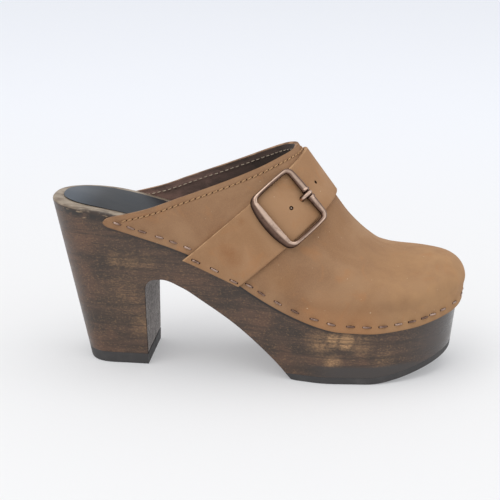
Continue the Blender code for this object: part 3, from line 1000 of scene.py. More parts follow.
@dataclass(frozen=True)
class WoodFinish(Finish):
    """Dark stained wood with soft level grain and gold flecks where the stain is rubbed thin.

    It is darker at toe and foot. A rubbed spot is x, y, z and reach in mm, and its strength.
    """

    name: str = "dark_stained_wood"
    dark: Rgb = srgb(55, 43, 35)
    body: Rgb = srgb(85, 64, 51)
    warm: Rgb = srgb(103, 73, 55)
    gold: Rgb = srgb(172, 134, 94)
    black: Rgb = srgb(64, 59, 57)
    grime: Rgb = srgb(40, 33, 29)
    shade: Rgb = srgb(26, 21, 18)
    scrape: Rgb = srgb(176, 152, 122)
    rubbed_spots: tuple[tuple[float, float, float, float, float], ...] = (
        (173.5, -49.0, 26.2, 7.5, 3.6),
        (167.0, -48.5, 27.0, 6.5, 2.8),
        (160.0, -46.5, 24.0, 13.0, 0.6),
        (182.0, -47.0, 24.5, 11.0, 0.55),
        (166.0, -46.5, 13.5, 8.0, 0.85),
        (196.0, -44.0, 16.0, 9.0, 0.4),
        (41.0, -31.0, 63.5, 8.0, 0.55),
        (50.0, -31.0, 63.0, 8.0, 0.75),
        (59.0, -31.0, 63.5, 8.0, 0.55),
        (47.0, -30.0, 40.0, 24.0, 0.2),
        (56.0, -29.0, 24.0, 12.0, 0.55),
        (171.0, 43.0, 25.0, 16.0, 0.8),
        (48.0, 30.0, 60.0, 18.0, 0.6),
        (50.0, 29.0, 32.0, 20.0, 0.4),
    )

    def dress(self, d: Dresser) -> None:
        """Lays out the nodes."""
        layers = d.noise(1.0, 2.0, 0.5, d.stretched(4.0, 5.0, 105.0), 0.35)
        streak = d.noise(1.0, 4.0, 0.6, d.stretched(26.0, 50.0, 170.0), 0.5)
        fleck = d.noise(1.0, 3.0, 0.68, d.stretched(660.0, 1120.0, 1120.0))
        pores = d.noise(1.0, 3.0, 0.6, d.stretched(200.0, 500.0, 1300.0))
        cloud = d.noise(46.0, 3.0, 0.55)
        colour = d.mix(d.ramp(streak, 0.3, 0.7), self.dark, self.body)
        colour = d.mix(d.ramp(cloud, 0.46, 0.72, 0.0, 0.6), colour, self.warm)
        colour = d.mix(d.ramp(fleck, 0.5, 0.7, 0.0, 0.24), colour, self.gold)
        rub: object = 0.0
        for *spot, share in self.rubbed_spots:
            rub = d.math("MAXIMUM", rub, d.times(d.near(*spot), share))
        rub = d.times(rub, d.ramp(cloud, 0.36, 0.6, 0.45, 1.0))
        colour = d.mix(d.times(rub, d.ramp(fleck, 0.36, 0.6, 0.32, 1.0)), colour, self.gold)
        line = d.ramp(d.math("ABSOLUTE", d.math("SUBTRACT", layers, 0.5)), 0.0, 0.035, 0.55, 0.0)
        colour = d.mix(line, colour, self.dark)
        colour = d.mix(d.ramp(pores, 0.52, 0.7, 0.0, 0.55), colour, self.grime)
        along, rise = d.along("X"), d.along("Z")
        toe = d.ramp(d.math("ADD", along, d.times(cloud, 0.02)), 0.088, 0.122, 0.0, 0.85)
        wavy = d.math("ADD", rise, d.times(streak, 0.004))
        foot = d.times(d.ramp(wavy, 0.0115, 0.0145, 0.95, 0.0), d.ramp(along, 0.024, 0.052))
        colour = d.mix(d.math("MAXIMUM", toe, foot), colour, self.black)
        soil_and_shade = d.attribute("wear_and_painted_light")
        under_rim = d.ramp(soil_and_shade, 0.0, 1.0)
        # painted shade: the negative values darken the wood into a line under the upper's lower edge
        colour = d.mix(d.ramp(soil_and_shade, -1.0, 0.0, 0.92, 0.0), colour, self.shade)
        soiled = d.times(under_rim, d.ramp(d.noise(170.0, 3.0, 0.6), 0.36, 0.56))
        colour = d.mix(soiled, colour, self.grime)
        scraped = d.ramp(d.noise(1.0, 3.0, 0.6, d.stretched(110.0, 110.0, 420.0)), 0.62, 0.7, 0.0, 0.7)
        colour = d.mix(d.times(under_rim, scraped), colour, self.scrape)
        coarse = d.bump(streak, 0.25, 0.3)
        satin = d.ramp(streak, 0.3, 0.7, 0.36, 0.5)
        d.set(
            Base_Color=colour,
            Roughness=d.math("SUBTRACT", satin, d.times(toe, 0.16)),
            Normal=d.bump(pores, 0.08, 0.35, coarse),
            Specular_IOR_Level=0.45,
            Coat_Weight=0.15,
            Coat_Roughness=0.28,
        )


@dataclass(frozen=True)
class FootbedRimFinish(Finish):
    """Pale raw rim of the footbed round the sock."""

    name: str = "pale_footbed_rim"
    body: Rgb = srgb(152, 138, 121)
    dark: Rgb = srgb(112, 97, 82)
    smudged: Rgb = srgb(98, 80, 66)
    stained: Rgb = srgb(58, 47, 40)

    def dress(self, d: Dresser) -> None:
        """Lays out the nodes."""
        grain = d.noise(1.0, 4.0, 0.6, d.stretched(90.0, 180.0, 180.0))
        smudge = d.noise(120.0, 3.0, 0.6)
        colour = d.mix(d.ramp(grain, 0.34, 0.62), self.dark, self.body)
        colour = d.mix(d.ramp(smudge, 0.52, 0.75, 0.0, 0.6), colour, self.smudged)
        outer = d.ramp(d.along("Y"), -0.0305, -0.0262, 1.0, 0.0)
        stain = d.times(outer, d.ramp(d.noise(150.0, 3.0, 0.6), 0.36, 0.54))
        d.set(
            Base_Color=d.mix(stain, colour, self.stained),
            Roughness=d.ramp(smudge, 0.3, 0.7, 0.55, 0.75),
            Normal=d.bump(grain, 0.15, 0.5),
        )


@dataclass(frozen=True)
class BreastFinish(Finish):
    """Heel breast: sawn wood with a thin grey stain, rougher than the sides."""

    name: str = "sawn_heel_breast"
    body: Rgb = srgb(170, 162, 158)
    dark: Rgb = srgb(112, 106, 104)
    pitted: Rgb = srgb(58, 54, 52)

    def dress(self, d: Dresser) -> None:
        """Lays out the nodes."""
        saw = d.noise(1.0, 4.0, 0.7, d.stretched(300.0, 300.0, 360.0))
        pits = d.noise(760.0, 3.0, 0.7)
        colour = d.mix(d.ramp(saw, 0.34, 0.66), self.dark, self.body)
        d.set(
            Base_Color=d.mix(d.ramp(pits, 0.5, 0.64, 0.0, 0.85), colour, self.pitted),
            Roughness=d.ramp(saw, 0.3, 0.7, 0.6, 0.8),
            Normal=d.bump(saw, 0.3, 0.5),
        )


@dataclass(frozen=True)
class RubberFinish(Finish):
    """Black rubber, matt, with a fine moulded skin and a little dust."""

    name: str = "matt_black_rubber"
    body: Rgb = srgb(62, 60, 60)
    dusty: Rgb = srgb(88, 85, 83)

    def dress(self, d: Dresser) -> None:
        """Lays out the nodes."""
        dust = d.noise(90.0, 4.0, 0.6)
        skin = d.noise(1400.0, 3.0, 0.7)
        d.set(
            Base_Color=d.mix(d.ramp(dust, 0.45, 0.8, 0.0, 0.6), self.body, self.dusty),
            Roughness=d.ramp(dust, 0.3, 0.7, 0.55, 0.75),
            Normal=d.bump(skin, 0.08, 0.6),
            Specular_IOR_Level=0.4,
        )


@dataclass(frozen=True)
class SockFinish(Finish):
    """Smooth dark slate sock with a faint grain, a soft gloss and a painted sheen at the heel end."""

    name: str = "slate_sock_leather"
    body: Rgb = srgb(42, 46, 52)
    dark: Rgb = srgb(30, 33, 38)
    pale: Rgb = srgb(84, 91, 100)

    def dress(self, d: Dresser) -> None:
        """Lays out the nodes."""
        cloud = d.noise(40.0, 3.0, 0.5)
        grain = d.noise(1300.0, 3.0, 0.6)
        tone = d.mix(d.ramp(cloud, 0.35, 0.7), self.dark, self.body)
        d.set(
            # painted sheen: paler towards the heel end
            Base_Color=d.mix(d.ramp(d.along("X"), -0.112, -0.089, 0.75, 0.0), tone, self.pale),
            Roughness=d.ramp(cloud, 0.3, 0.7, 0.5, 0.62),
            Normal=d.bump(grain, 0.05, 0.5),
            Specular_IOR_Level=0.32,
        )


@dataclass(frozen=True)
class BronzeFinish(Finish):
    """Antique copper bronze: patina, painted shade on the sides turned from the light, painted highlight
    along the lit ridges.
    """

    name: str = "antique_copper_bronze"
    dark: Rgb = srgb(52, 38, 32)
    body: Rgb = srgb(112, 88, 76)
    painted_highlight: Rgb = srgb(208, 181, 163)

    def dress(self, d: Dresser) -> None:
        """Lays out the nodes."""
        patina = d.noise(260.0, 4.0, 0.6)
        fine = d.noise(2600.0, 3.0, 0.6)
        wear_and_painted_light = d.attribute("wear_and_painted_light")
        # painted shade on the undersides and the heavy bar's outer slope, where the point value is low
        colour = d.mix(d.ramp(wear_and_painted_light, 0.36, 0.8), self.dark, self.body)
        colour = d.mix(d.ramp(patina, 0.46, 0.72, 0.0, 0.55), colour, self.dark)
        # painted highlight along the lit ridge of each bar
        ridge_highlight = d.times(d.ramp(wear_and_painted_light, 0.87, 1.0), d.ramp(patina, 0.28, 0.55, 0.6, 1.0))
        colour = d.mix(ridge_highlight, colour, self.painted_highlight)
        d.set(
            Base_Color=colour,
            Metallic=1.0,
            Roughness=d.ramp(patina, 0.3, 0.7, 0.24, 0.38),
            Normal=d.bump(fine, 0.03, 0.4),
        )


@dataclass(frozen=True)
class StapleFinish(Finish):
    """Coppered staple wire, tarnished unevenly."""

    name: str = "coppered_staple_wire"
    body: Rgb = srgb(176, 150, 137)
    dark: Rgb = srgb(116, 91, 79)

    def dress(self, d: Dresser) -> None:
        """Lays out the nodes."""
        tarnish = d.noise(150.0, 3.0, 0.6)
        d.set(
            Base_Color=d.mix(d.ramp(tarnish, 0.38, 0.62), self.dark, self.body),
            Metallic=0.85,
            Roughness=d.ramp(tarnish, 0.3, 0.7, 0.5, 0.28),
        )


@dataclass(frozen=True)
class ThreadFinish(Finish):
    """Twisted sewing thread."""

    name: str = "tan_thread"
    body: Rgb = srgb(182, 145, 108)
    dark: Rgb = srgb(150, 115, 83)

    def dress(self, d: Dresser) -> None:
        """Lays out the nodes."""
        twist = d.noise(2400.0, 2.0, 0.5)
        d.set(
            Base_Color=d.mix(d.ramp(twist, 0.35, 0.65), self.dark, self.body),
            Roughness=0.8,
            Normal=d.bump(twist, 0.06, 0.6),
            Specular_IOR_Level=0.2,
        )


@dataclass(frozen=True)
class PaintedShadeFinish(Finish):
    """Painted shade: dark fibre for the insides of punched and pierced holes and for pits, where shade
    falls.
    """

    name: str = "pierced_leather_painted_shade"
    body: Rgb = srgb(58, 38, 28)
    dark: Rgb = srgb(34, 24, 20)

    def dress(self, d: Dresser) -> None:
        """Lays out the nodes."""
        fibre = d.noise(1600.0, 3.0, 0.6)
        d.set(
            Base_Color=d.mix(d.ramp(fibre, 0.35, 0.65), self.dark, self.body),
            Roughness=0.95,
            Specular_IOR_Level=0.1,
        )


def rounded_column(
    length: float, top: float, foot: float, arc: int, straight: Iterable[float],
) -> list[Pair]:
    """Places down a column as (mm from its top, growth), rounded at both ends.

    Args:
        length: length of the column.
        top: radius at its top.
        foot: radius at its foot.
        arc: steps of each rounding.
        straight: places down the straight part.

    Returns:
        The places from top to bottom.
    """
    turns = evenly(0.0, QUARTER, arc)
    column = [(top * (1.0 - math.cos(t)), top * (math.sin(t) - 1.0)) for t in turns]
    column += [(down, 0.0) for down in straight]
    column += [(length - foot + foot * math.sin(t), foot * (math.cos(t) - 1.0)) for t in turns]
    return column


@dataclass
class Assembly:
    """A sub-assembly of the shoe and the finishes it draws on."""

    finishes: dict[str, bpy.types.Material]

    def picked(self, *names: str) -> list[bpy.types.Material]:
        """Finishes by their short names."""
        return [self.finishes[name] for name in names]


@dataclass
class WoodSole(Assembly):
    """Carved sole and block heel, with the rubber lift, the outsole and the sock on the footbed."""

    rim: float = 1.4
    foot_edge: float = 0.1
    breast_edge: float = 1.3
    breast_rings: tuple[int, int] = (12, 40)
    edge_arc: int = 5
    wall_steps: int = 56
    heel_steps: int = 26
    toe_steps: int = 34
    arch_steps: int = 96
    platform_steps: int = 30
    foot_front: float = 57.3
    foot_steps: int = 10
    foot_top_step: float = 0.9
    foot_corner: tuple[Triple, ...] = ((58.0, 0.2, 47.3), (58.4, 0.7, 47.6))
    arch_tops: tuple[tuple[int, float], ...] = ((0, 48.0), (1, 56.0), (3, 62.0), (5, 79.0))
    soil_drop: float = 3.0
    soil_reach: float = 2.4
    soil_end: float = 75.0
    soil_fade: float = 25.0
    # painted shade line on the wood under the upper's lower edge: strength, extra strength, middle,
    # length, drop and reach
    gap_shade: float = 0.55
    gap_deepest: float = 0.75
    gap_middle: float = 130.0
    gap_length: float = 26.0
    gap_drop: float = 1.2
    gap_reach: float = 1.3
    lift: float = 6.5
    lift_front: float = 58.5
    lift_steps: int = 12
    outsole: float = 4.0
    outsole_rear: float = 139.6
    outsole_rake: float = 0.846
    rake_rings: float = 4.0
    rubber_edges: Pair = (0.05, 0.8)
    plate_arc: int = 4
    plate_shares: Pair = (0.35, 0.65)
    seat_gap: float = 0.03
    sock_inset: float = 8.2
    sock_shift: float = 2.0
    sock_back: float = 2.0
    sock_thickness: float = 0.3
    sock_gap: float = 0.05
    sock_edges: Pair = (0.25, 0.05)
    sock_steps: int = 70
    sock_toe_steps: int = 30

    def levels(self, length: float, edge: float) -> list[Pair]:
        """Places down the side of the wood, with the rim on top and an edge radius at the foot."""
        straight = evenly(self.rim, length - edge, self.wall_steps)[1:-1]
        return rounded_column(length, self.rim, edge, self.edge_arc, straight)

    def platform_foot(self, x: float) -> float:
        """Height of the wood's underside on the outsole."""
        return self.outsole + self.seat_gap + LAST.spring(x)

    def under_line(self) -> list[Triple]:
        """The underside in side view: heel, breast, arch and platform.

        Returns:
            Its points as (x, z, x at the footbed).
        """
        foot = self.lift + self.seat_gap
        heel = evenly(LAST.heel_arc, self.foot_front, self.foot_steps)
        line = [(x, foot, LAST.heel_arc + self.foot_top_step * k) for k, x in enumerate(heel)]
        line += [(x, foot + rise, top) for x, rise, top in self.foot_corner]
        runs = [0.0]
        for a, b in zip(ARCH, ARCH[1:]):
            runs.append(runs[-1] + math.dist(a, b))
        along_x, along_z = Curve(runs, [p[0] for p in ARCH]), Curve(runs, [p[1] for p in ARCH])
        start = ARCH[-1][0]
        tops = Curve(
            [runs[n] for n, _ in self.arch_tops] + [runs[-1]],
            [top for _, top in self.arch_tops] + [start],
        )
        for run in evenly(0.0, runs[-1], self.arch_steps):
            line.append((along_x(run), along_z(run), tops(run)))
        platform = evenly(start, LAST.toe_arc, self.platform_steps)[1:-1]
        return line + [(x, self.platform_foot(x), x) for x in platform]

    def station_ring(self, station: Station, foot: float) -> list[Vector]:
        """Ring of the wood at a station of the round heel or toe.

        Args:
            station: place along the shoe.
            foot: height of the underside.

        Returns:
            The ring, lateral side first.
        """
        bed = FOOTBED(station.x)
        ring = []
        for side, order in RING_ORDER:
            for down, grow in self.levels(bed - foot, self.foot_edge)[::order]:
                x, y = LAST.outline(station, side, down, grow)
                ring.append(Vector((x, y, bed - down)))
        return ring

    def slanted_ring(self, x: float, z: float, top_x: float, edge: float) -> list[Vector]:
        """Ring of the wood along a slanted line from the footbed to a point of the underside.

        Args:
            x: place of the underside along the shoe.
            z: height of the underside.
            top_x: place along the shoe at the footbed.
            edge: radius along the underside.

        Returns:
            The ring, lateral side first.
        """
        top = Vector((top_x, FOOTBED(top_x)))
        foot = Vector((x, z))
        length = (foot - top).length
        ring = []
        for side, order in RING_ORDER:
            for down, grow in self.levels(length, edge)[::order]:
                spot = top.lerp(foot, down / length)
                station = LAST.side_station(spot.x)
                _, y = LAST.outline(station, side, FOOTBED(spot.x) - spot.y, grow)
                ring.append(Vector((spot.x, y, spot.y)))
        return ring

    def soil_and_shade(self, place: Vector) -> float:
        """Soiled strip below the rim of the heel, and below zero the painted shade line under the
        upper's edge.

        Args:
            place: point of the wood.

        Returns:
            The soil there.
        """
        strip = bell(FOOTBED(place.x) - place.z - self.soil_drop, self.soil_reach)
        strip *= clamp((self.soil_end - place.x) / self.soil_fade)
        if not LAST.tail < place.x < LAST.toe_arc:
            return strip
        # painted shade: a dark line on the wood just under the upper's lower edge, stored as negative
        # values
        shade = self.gap_shade + self.gap_deepest * bell(place.x - self.gap_middle, self.gap_length)
        return strip - shade * bell(UPPER_LOW(place.x) - self.gap_drop - place.z, self.gap_reach)

    def build_wood(self) -> None:
        """Builds the carved sole."""
        foot = self.lift + self.seat_gap
        rings = [self.station_ring(station, foot) for station in LAST.heel_stations(self.heel_steps)]
        breast = range(len(rings) + self.breast_rings[0], len(rings) + self.breast_rings[1])
        for spot in self.under_line():
            edge = self.breast_edge if len(rings) in breast else self.foot_edge
            rings.append(self.slanted_ring(*spot, edge))
        for station in LAST.toe_stations(self.toe_steps):
            rings.append(self.station_ring(station, self.platform_foot(station.x)))
        half = len(rings[0]) // 2

        def slot(r: int, k: int) -> int:
            """Pale rim on top, sawn breast with painted shade along its edges, stained wood elsewhere.
            """
            if k < self.edge_arc - 1 or k >= 2 * half - self.edge_arc:
                return 1
            if r not in breast or abs(k - half + 1) > self.edge_arc:
                return 0
            # painted shade on the breast's rounded edges
            return 2 if k == half - 1 else 3

        shape = Shape()
        shape.rings(rings, slot, lambda r, k: self.soil_and_shade(rings[r][k]), capped=False)
        finishes = self.picked("wood", "rim", "breast", "breast_edge")
        place_shape("carved_sole", shape, finishes, ["wood_sole"])

    def plate(
        self, stations: Sequence[Station], top: Callable[[float], float], foot: Callable[[float], float],
        edges: Pair, growth: float = 0.0, rake: float = 0.0,
    ) -> Shape:
        """A plate that follows the sole.

        Args:
            stations: places along the shoe.
            top: height of its top over x.
            foot: height of its underside over x.
            edges: radius of the top and bottom edge.
            growth: mm outside the wood.
            rake: how far the first ring leans forward per mm of drop.

        Returns:
            The plate's shape.
        """
        rings = []
        for r, station in enumerate(stations):
            high = top(station.x)
            length = high - foot(station.x)
            straight = [length * share for share in self.plate_shares]
            column = rounded_column(length, *edges, self.plate_arc, straight)
            lean = rake * max(0.0, 1.0 - r / self.rake_rings)
            ring = []
            for side, order in RING_ORDER:
                for down, grow in column[::order]:
                    x, y = LAST.outline(station, side, FOOTBED(station.x) - high + down, growth + grow)
                    ring.append(Vector((x + lean * down, y, high - down)))
            rings.append(ring)
        shape = Shape()
        shape.rings(rings, capped=stations[0].width > 0.5 or stations[-1].width > 0.5)
        return shape

    def build_rubber(self) -> None:
        """Builds the heel lift and the outsole."""
        stations = LAST.heel_stations(self.heel_steps)
        stations += LAST.side_stations(LAST.heel_arc, self.lift_front, self.lift_steps)
        lift = self.plate(stations, lambda x: self.lift, lambda x: 0.0, self.rubber_edges)
        place_shape("top_lift", lift, self.picked("rubber"), ["heel_top_lift"])
        stations = LAST.side_stations(self.outsole_rear, LAST.toe_arc, self.platform_steps)[:-1]
        stations += LAST.toe_stations(self.toe_steps)
        sole = self.plate(
            stations, lambda x: self.outsole + LAST.spring(x), LAST.spring, self.rubber_edges,
            rake=self.outsole_rake,
        )
        place_shape("rubber_outsole", sole, self.picked("rubber"), ["outsole"])

    def build_sock(self) -> None:
        """Builds the sock on the footbed."""
        stations = LAST.heel_stations(self.heel_steps)
        stations += LAST.side_stations(LAST.heel_arc, LAST.toe_arc, self.sock_steps)[:-1]
        stations += LAST.toe_stations(self.sock_toe_steps)
        sock = self.plate(
            stations, lambda x: FOOTBED(x) + self.sock_gap + self.sock_thickness,
            lambda x: FOOTBED(x) + self.sock_gap, self.sock_edges, -self.sock_inset,
        )
        for place in sock.points:
            moved = place.x - self.sock_back
            place.z += FOOTBED(moved) - FOOTBED(place.x)
            place.x = moved
            place.y += self.sock_shift
        place_shape("sock", sock, self.picked("sock"), ["insole"])

    def build(self) -> None:
        """Builds all four pieces."""
        self.build_wood()
        self.build_rubber()
        self.build_sock()


class Seat(NamedTuple):
    """A place on leather: point, outward direction and direction along a row."""

    point: Vector
    out: Vector
    along: Vector

    @property
    def across(self) -> Vector:
        """Direction on the leather square to the row."""
        return self.out.cross(self.along).normalized()

    def turned(self, angle: float) -> Vector:
        """The row's direction, turned on the leather."""
        return Matrix.Rotation(angle, 3, self.out) @ self.along

    def ring(self, rise: float, long: float, wide: float, sides: int) -> list[Vector]:
        """An oval at a rise over the leather, with half sizes along and across the row."""
        return oval(self.point + self.out * rise, self.along * long, self.across * wide, sides)


@dataclass
class StrapForm:
    """Where the instep strap lies, as the part has it."""

    tilt: float = math.radians(41.5)
    rear: float = 3.2
    front: float = 34.2
    rear_end: float = 80.6
    front_end: float = 113.2
    thickness: float = 2.2
    gap: float = 0.35
    crest_span: Pair = (120.0, 185.0)
    line_steps: int = 48

    def across(self, place: Vector) -> float:
        """Distance across the strap's slanted band."""
        return math.sin(self.tilt) * place.x - math.cos(self.tilt) * place.z

    def at(self, share: float) -> float:
        """Distance across the band at a share of its width."""
        return self.rear + (self.front - self.rear) * share

    def height(self, across: float, x: float) -> float:
        """Height at x of the slanted plane."""
        return (math.sin(self.tilt) * x - across) / math.cos(self.tilt)

    def crest_x(self, across: float) -> float:
        """Where that plane meets the crest."""
        return halved(*self.crest_span, 40, lambda x: self.height(across, x) < LAST.crest(x)[1])

    def line(self, side: Side, across: float) -> list[Vector]:
        """Fine points on the upper from a lower end of the strap to the crest."""
        return _strap_line(side, round(across, 3))

    def point(self, across: float, down: float) -> Vector:
        """Point on the upper, down mm from the crest on the lateral side.

        Args:
            across: mm across the strap's band.
            down: mm down from the crest.

        Returns:
            The point.
        """
        points = self.line(Side.LATERAL, across)[::-1]
        left = down
        for a, b in zip(points, points[1:]):
            step = (b - a).length
            if left <= step:
                return a.lerp(b, left / step)
            left -= step
        return points[-1]

    def seat(self, across: float, down: float, out: float) -> Seat:
        """Place at a height over the outside of the strap.

        Args:
            across: mm across the strap's band.
            down: mm down from the crest.
            out: mm over the strap.

        Returns:
            The place.
        """
        step = 1.0
        over = self.point(across + step, down) - self.point(across - step, down)
        along = self.point(across, down + step) - self.point(across, down - step)
        square = along.cross(over).normalized()
        place = self.point(across, down) + square * (self.gap + self.thickness + out)
        return Seat(place, square, along.normalized())


STRAP = StrapForm()


@lru_cache(maxsize=None)
def _strap_line(side: Side, across: float) -> list[Vector]:
    """Points of StrapForm.line, kept once made.

    Args:
        side: which side.
        across: mm across the strap's band.

    Returns:
        The points from the end up.
    """
    share = (across - STRAP.rear) / (STRAP.front - STRAP.rear)
    start = STRAP.rear_end + (STRAP.front_end - STRAP.rear_end) * share
    end = STRAP.crest_x(across)
    points = []
    for turn in evenly(0.0, QUARTER, STRAP.line_steps)[:-1]:
        x = start + (end - start) * math.sin(turn)
        z = STRAP.height(across, x)
        points.append(Vector((x, LAST.upper_y(side, x, z), z)))
    points.append(Vector((end, *LAST.crest(end))))
    return points


def tube(
    shape: Shape, path: Sequence[Vector], out: Sequence[Vector], widths: Sequence[float],
    heights: Sequence[float], sides: int, wear_and_painted_light: Callable[[float], float] = lambda rise: 0.0,
) -> None:
    """Adds a closed bar along a path.

    Args:
        shape: the shape it goes into.
        path: middle of the bar.
        out: outward direction at each point.
        widths: half widths.
        heights: half heights.
        sides: faces round the bar.
        wear_and_painted_light: wear and painted light from the rise of a face point, -1 to 1.
    """
    rings = []
    for k, middle in enumerate(path):
        along = path[min(k + 1, len(path) - 1)] - path[max(k - 1, 0)]
        across = out[k].cross(along).normalized()
        up = along.cross(across).normalized()
        rings.append(oval(middle, across * widths[k], up * heights[k], sides))
    shape.rings(rings, wear_and_painted_light=lambda r, k: wear_and_painted_light(math.sin(FULL_TURN * k / sides)))


class Trough(NamedTuple):
    """A soft fold of the upper between two ends in side view.

    It has a reach to each side and a depth, negative for a ridge.
    """

    x: float
    z: float
    end_x: float
    end_z: float
    reach: float
    depth: float

    def at(self, place: Vector) -> float:
        """Depth of the fold at a place.

        Args:
            place: point of the upper.

        Returns:
            The depth.
        """
        a, b = Vector((self.x, self.z)), Vector((self.end_x, self.end_z))
        spot = Vector((place.x, place.z))
        share = clamp((spot - a).dot(b - a) / (b - a).length_squared)
        return self.depth * bell((spot - a.lerp(b, share)).length, self.reach)


class Pit(NamedTuple):
    """A small hole mark in leather, dark with painted shade: half sizes along and across it, and the
    rise of its middle.
    """

    long: float
    wide: float
    rise: float


class Stitch(NamedTuple):
    """A stitch: its share of the pitch, the thread's radius and its slant."""

    share: float
    radius: float
    slant: float


@dataclass
class Upper(Assembly):
    """Nubuck upper with its lining, collar stitching and staples.

    Dirt and painted shade is a strength and a reach round the stitch row, the staples and the lower
    edge.
    A wave is waves per mm and a depth. A stitch's form is share of its length, rise and share of its
    radius.
    """

    rib_steps: int = 50
    rib_crowd: float = 0.62
    tail_steps: tuple[float, ...] = (0.0, 0.15, 0.4, 0.8, 1.3, 1.9, 2.4)
    quarter_end: float = 116.0
    quarter_steps: int = 42
    throat_steps: int = 24
    throat_power: float = 1.7
    vamp_steps: int = 28
    toe_steps: int = 38
    edge_round: float = 0.5
    edge_segments: int = 3
    edge_angle: float = math.radians(50.0)
    edge_band: float = 8.0
    edge_swell: float = 0.14
    swell_reach: float = 4.0
    strap_margin: float = 3.0
    dirt_and_shade: tuple[Pair, ...] = ((0.55, 0.6), (0.35, 2.2), (0.25, 0.9))
    collar_steps: int = 60
    groove_points: int = 600
    groove_depth: float = 0.28
    groove_reach: float = 0.75
    stitch_inset: float = 3.5
    stitch_pitch: float = 3.4
    stitch_start: float = 44.5
    stitch_form: tuple[Triple, ...] = (
        (-0.5, -0.3, 0.5),
        (-0.36, 0.08, 0.9),
        (0.0, 0.26, 1.0),
        (0.36, 0.08, 0.9),
        (0.5, -0.3, 0.5),
    )
    stitch_flatness: float = 0.8
    outer_stitch: Stitch = Stitch(0.84, 0.42, math.radians(11.0))
    inner_stitch: Stitch = Stitch(0.66, 0.3, 0.0)
    inner_rise: float = 0.03
    stitch_hole: Pit = Pit(0.62, 0.4, 0.07)
    stitch_hole_slant: float = math.radians(38.0)
    staple_rise: float = 4.0
    staple_rib_point: int = 4
    staple_xs: tuple[float, ...] = (
        43.2, 50.9, 57.4, 67.2, 75.0, 83.4, 118.7, 125.8, 135.1, 144.9, 155.7, 165.3, 176.0, 185.0,
        194.0, 202.6, 210.0, 217.0, 221.5, 227.4, 234.0,
    )
    tip_ys: tuple[float, ...] = (-6.0, 4.0, 14.0)
    toe_staple_tilt: float = 0.06
    strap_staples: tuple[Pair, ...] = ((0.16, 3.9), (0.49, 4.1), (0.87, 2.7))
    staple_bends: tuple[Pair, ...] = (
        (-2.15, -1.1), (-2.11, -0.35), (-1.95, 0.12), (-1.6, 0.3), (-0.8, 0.34),
        (0.8, 0.34), (1.6, 0.3), (1.95, 0.12), (2.11, -0.35), (2.15, -1.1),
    )
    staple_half: Pair = (0.56, 0.3)
    staple_sides: int = 10
    staple_skew: float = math.radians(9.0)
    staple_skew_pitch: float = 0.31
    staple_dent: Pit = Pit(2.5, 0.84, 0.05)
    staple_hole: Pit = Pit(0.5, 0.78, 0.12)
    staple_hole_at: float = 2.3
    pin_depth: float = 0.16
    pin_reach: float = 2.4
    folds: tuple[Trough, ...] = (
        Trough(184.0, 66.0, 170.0, 50.0, 5.5, 0.34),
        Trough(176.0, 72.0, 160.0, 56.0, 4.5, 0.24),
        Trough(181.0, 68.0, 166.0, 53.0, 2.8, -0.14),
        Trough(226.0, 60.0, 196.0, 62.0, 7.0, -0.18),
        Trough(118.0, 62.0, 150.0, 50.0, 6.0, 0.22),
        Trough(62.0, 86.0, 92.0, 92.0, 6.0, 0.25),
    )
    long_wave: Pair = (0.028, 0.35)
    short_wave: Pair = (0.08, 0.12)
    short_wave_shift: Triple = (7.0, 3.0, 1.0)
    wave_base: float = 0.1
    wave_least: float = -0.2
    skin: Optional[BVHTree] = None
    plain_skin: Optional[BVHTree] = None

    def stations(self) -> list[Station]:
        """Stations from the tail of the quarters to the toe tip, closer together at the throat."""
        xs = [LAST.tail + step for step in self.tail_steps]
        xs += evenly(LAST.heel_arc, self.quarter_end, self.quarter_steps)[:-1]
        for share in evenly(0.0, 1.0, self.throat_steps):
            xs.append(THROAT_X - (THROAT_X - self.quarter_end) * (1.0 - share) ** self.throat_power)
        xs += evenly(THROAT_X, LAST.toe_arc, self.vamp_steps)[1:-1]
        return [LAST.side_station(x) for x in xs] + LAST.toe_stations(self.toe_steps)

    def tree(self, mesh: bpy.types.Mesh) -> BVHTree:
        """Search tree of a mesh, in shoe mm."""
        points = [v.co / MM - ORIGIN for v in mesh.vertices]
        return BVHTree.FromPolygons(points, [tuple(p.vertices) for p in mesh.polygons])

    def collar_row(self) -> list[Vector]:
        """The stitch row on the upper.

        Returns:
            Its points from the lateral tail over the throat to the medial tail.
        """
        turns = evenly(0.0, QUARTER, self.collar_steps)[:-1]
        xs = [self.stitch_start + (THROAT_X - self.stitch_start) * math.sin(turn) for turn in turns]
        edge = [LAST.rib(LAST.side_station(x), Side.LATERAL)[-1] for x in xs]
        edge.append(Vector((THROAT_X, *LAST.crest(THROAT_X))))
        edge += [LAST.rib(LAST.side_station(x), Side.MEDIAL)[-1] for x in xs[::-1]]
        row = []
        for k, place in enumerate(edge):
            along = (edge[min(k + 1, len(edge) - 1)] - edge[max(k - 1, 0)]).normalized()
            _, out, _, _ = self.plain_skin.find_nearest(place)
            inward = out.cross(along).normalized()
            if inward.z > 0.0:
                inward = -inward
            spot, _, _, _ = self.plain_skin.find_nearest(place + inward * self.stitch_inset)
            row.append(spot)
        return row

    def low_seat(self, side: Side, station: Station) -> Seat:
        """Place of a staple above the upper's lower edge.

        Args:
            side: which side.
            station: place along the shoe.

        Returns:
            The place.
        """
        def spot(at: Station) -> Vector:
            """Point of a rib at the staples' rise."""
            rib = LAST.rib(at, side)
            return spread(rib, [min(0.5, self.staple_rise / run_length(rib))])[0]

        place, out, _, _ = self.skin.find_nearest(spot(station))
        if station.toe == 0.0:
            step = 0.6
            along = spot(LAST.side_station(station.x + step)) - spot(LAST.side_station(station.x - step))
        else:
            along = Vector((0.0, 0.0, 1.0)).cross(out) * -side.value
            along = Vector((along.x, along.y, self.toe_staple_tilt * along.length))
        return Seat(place, out, along.normalized())

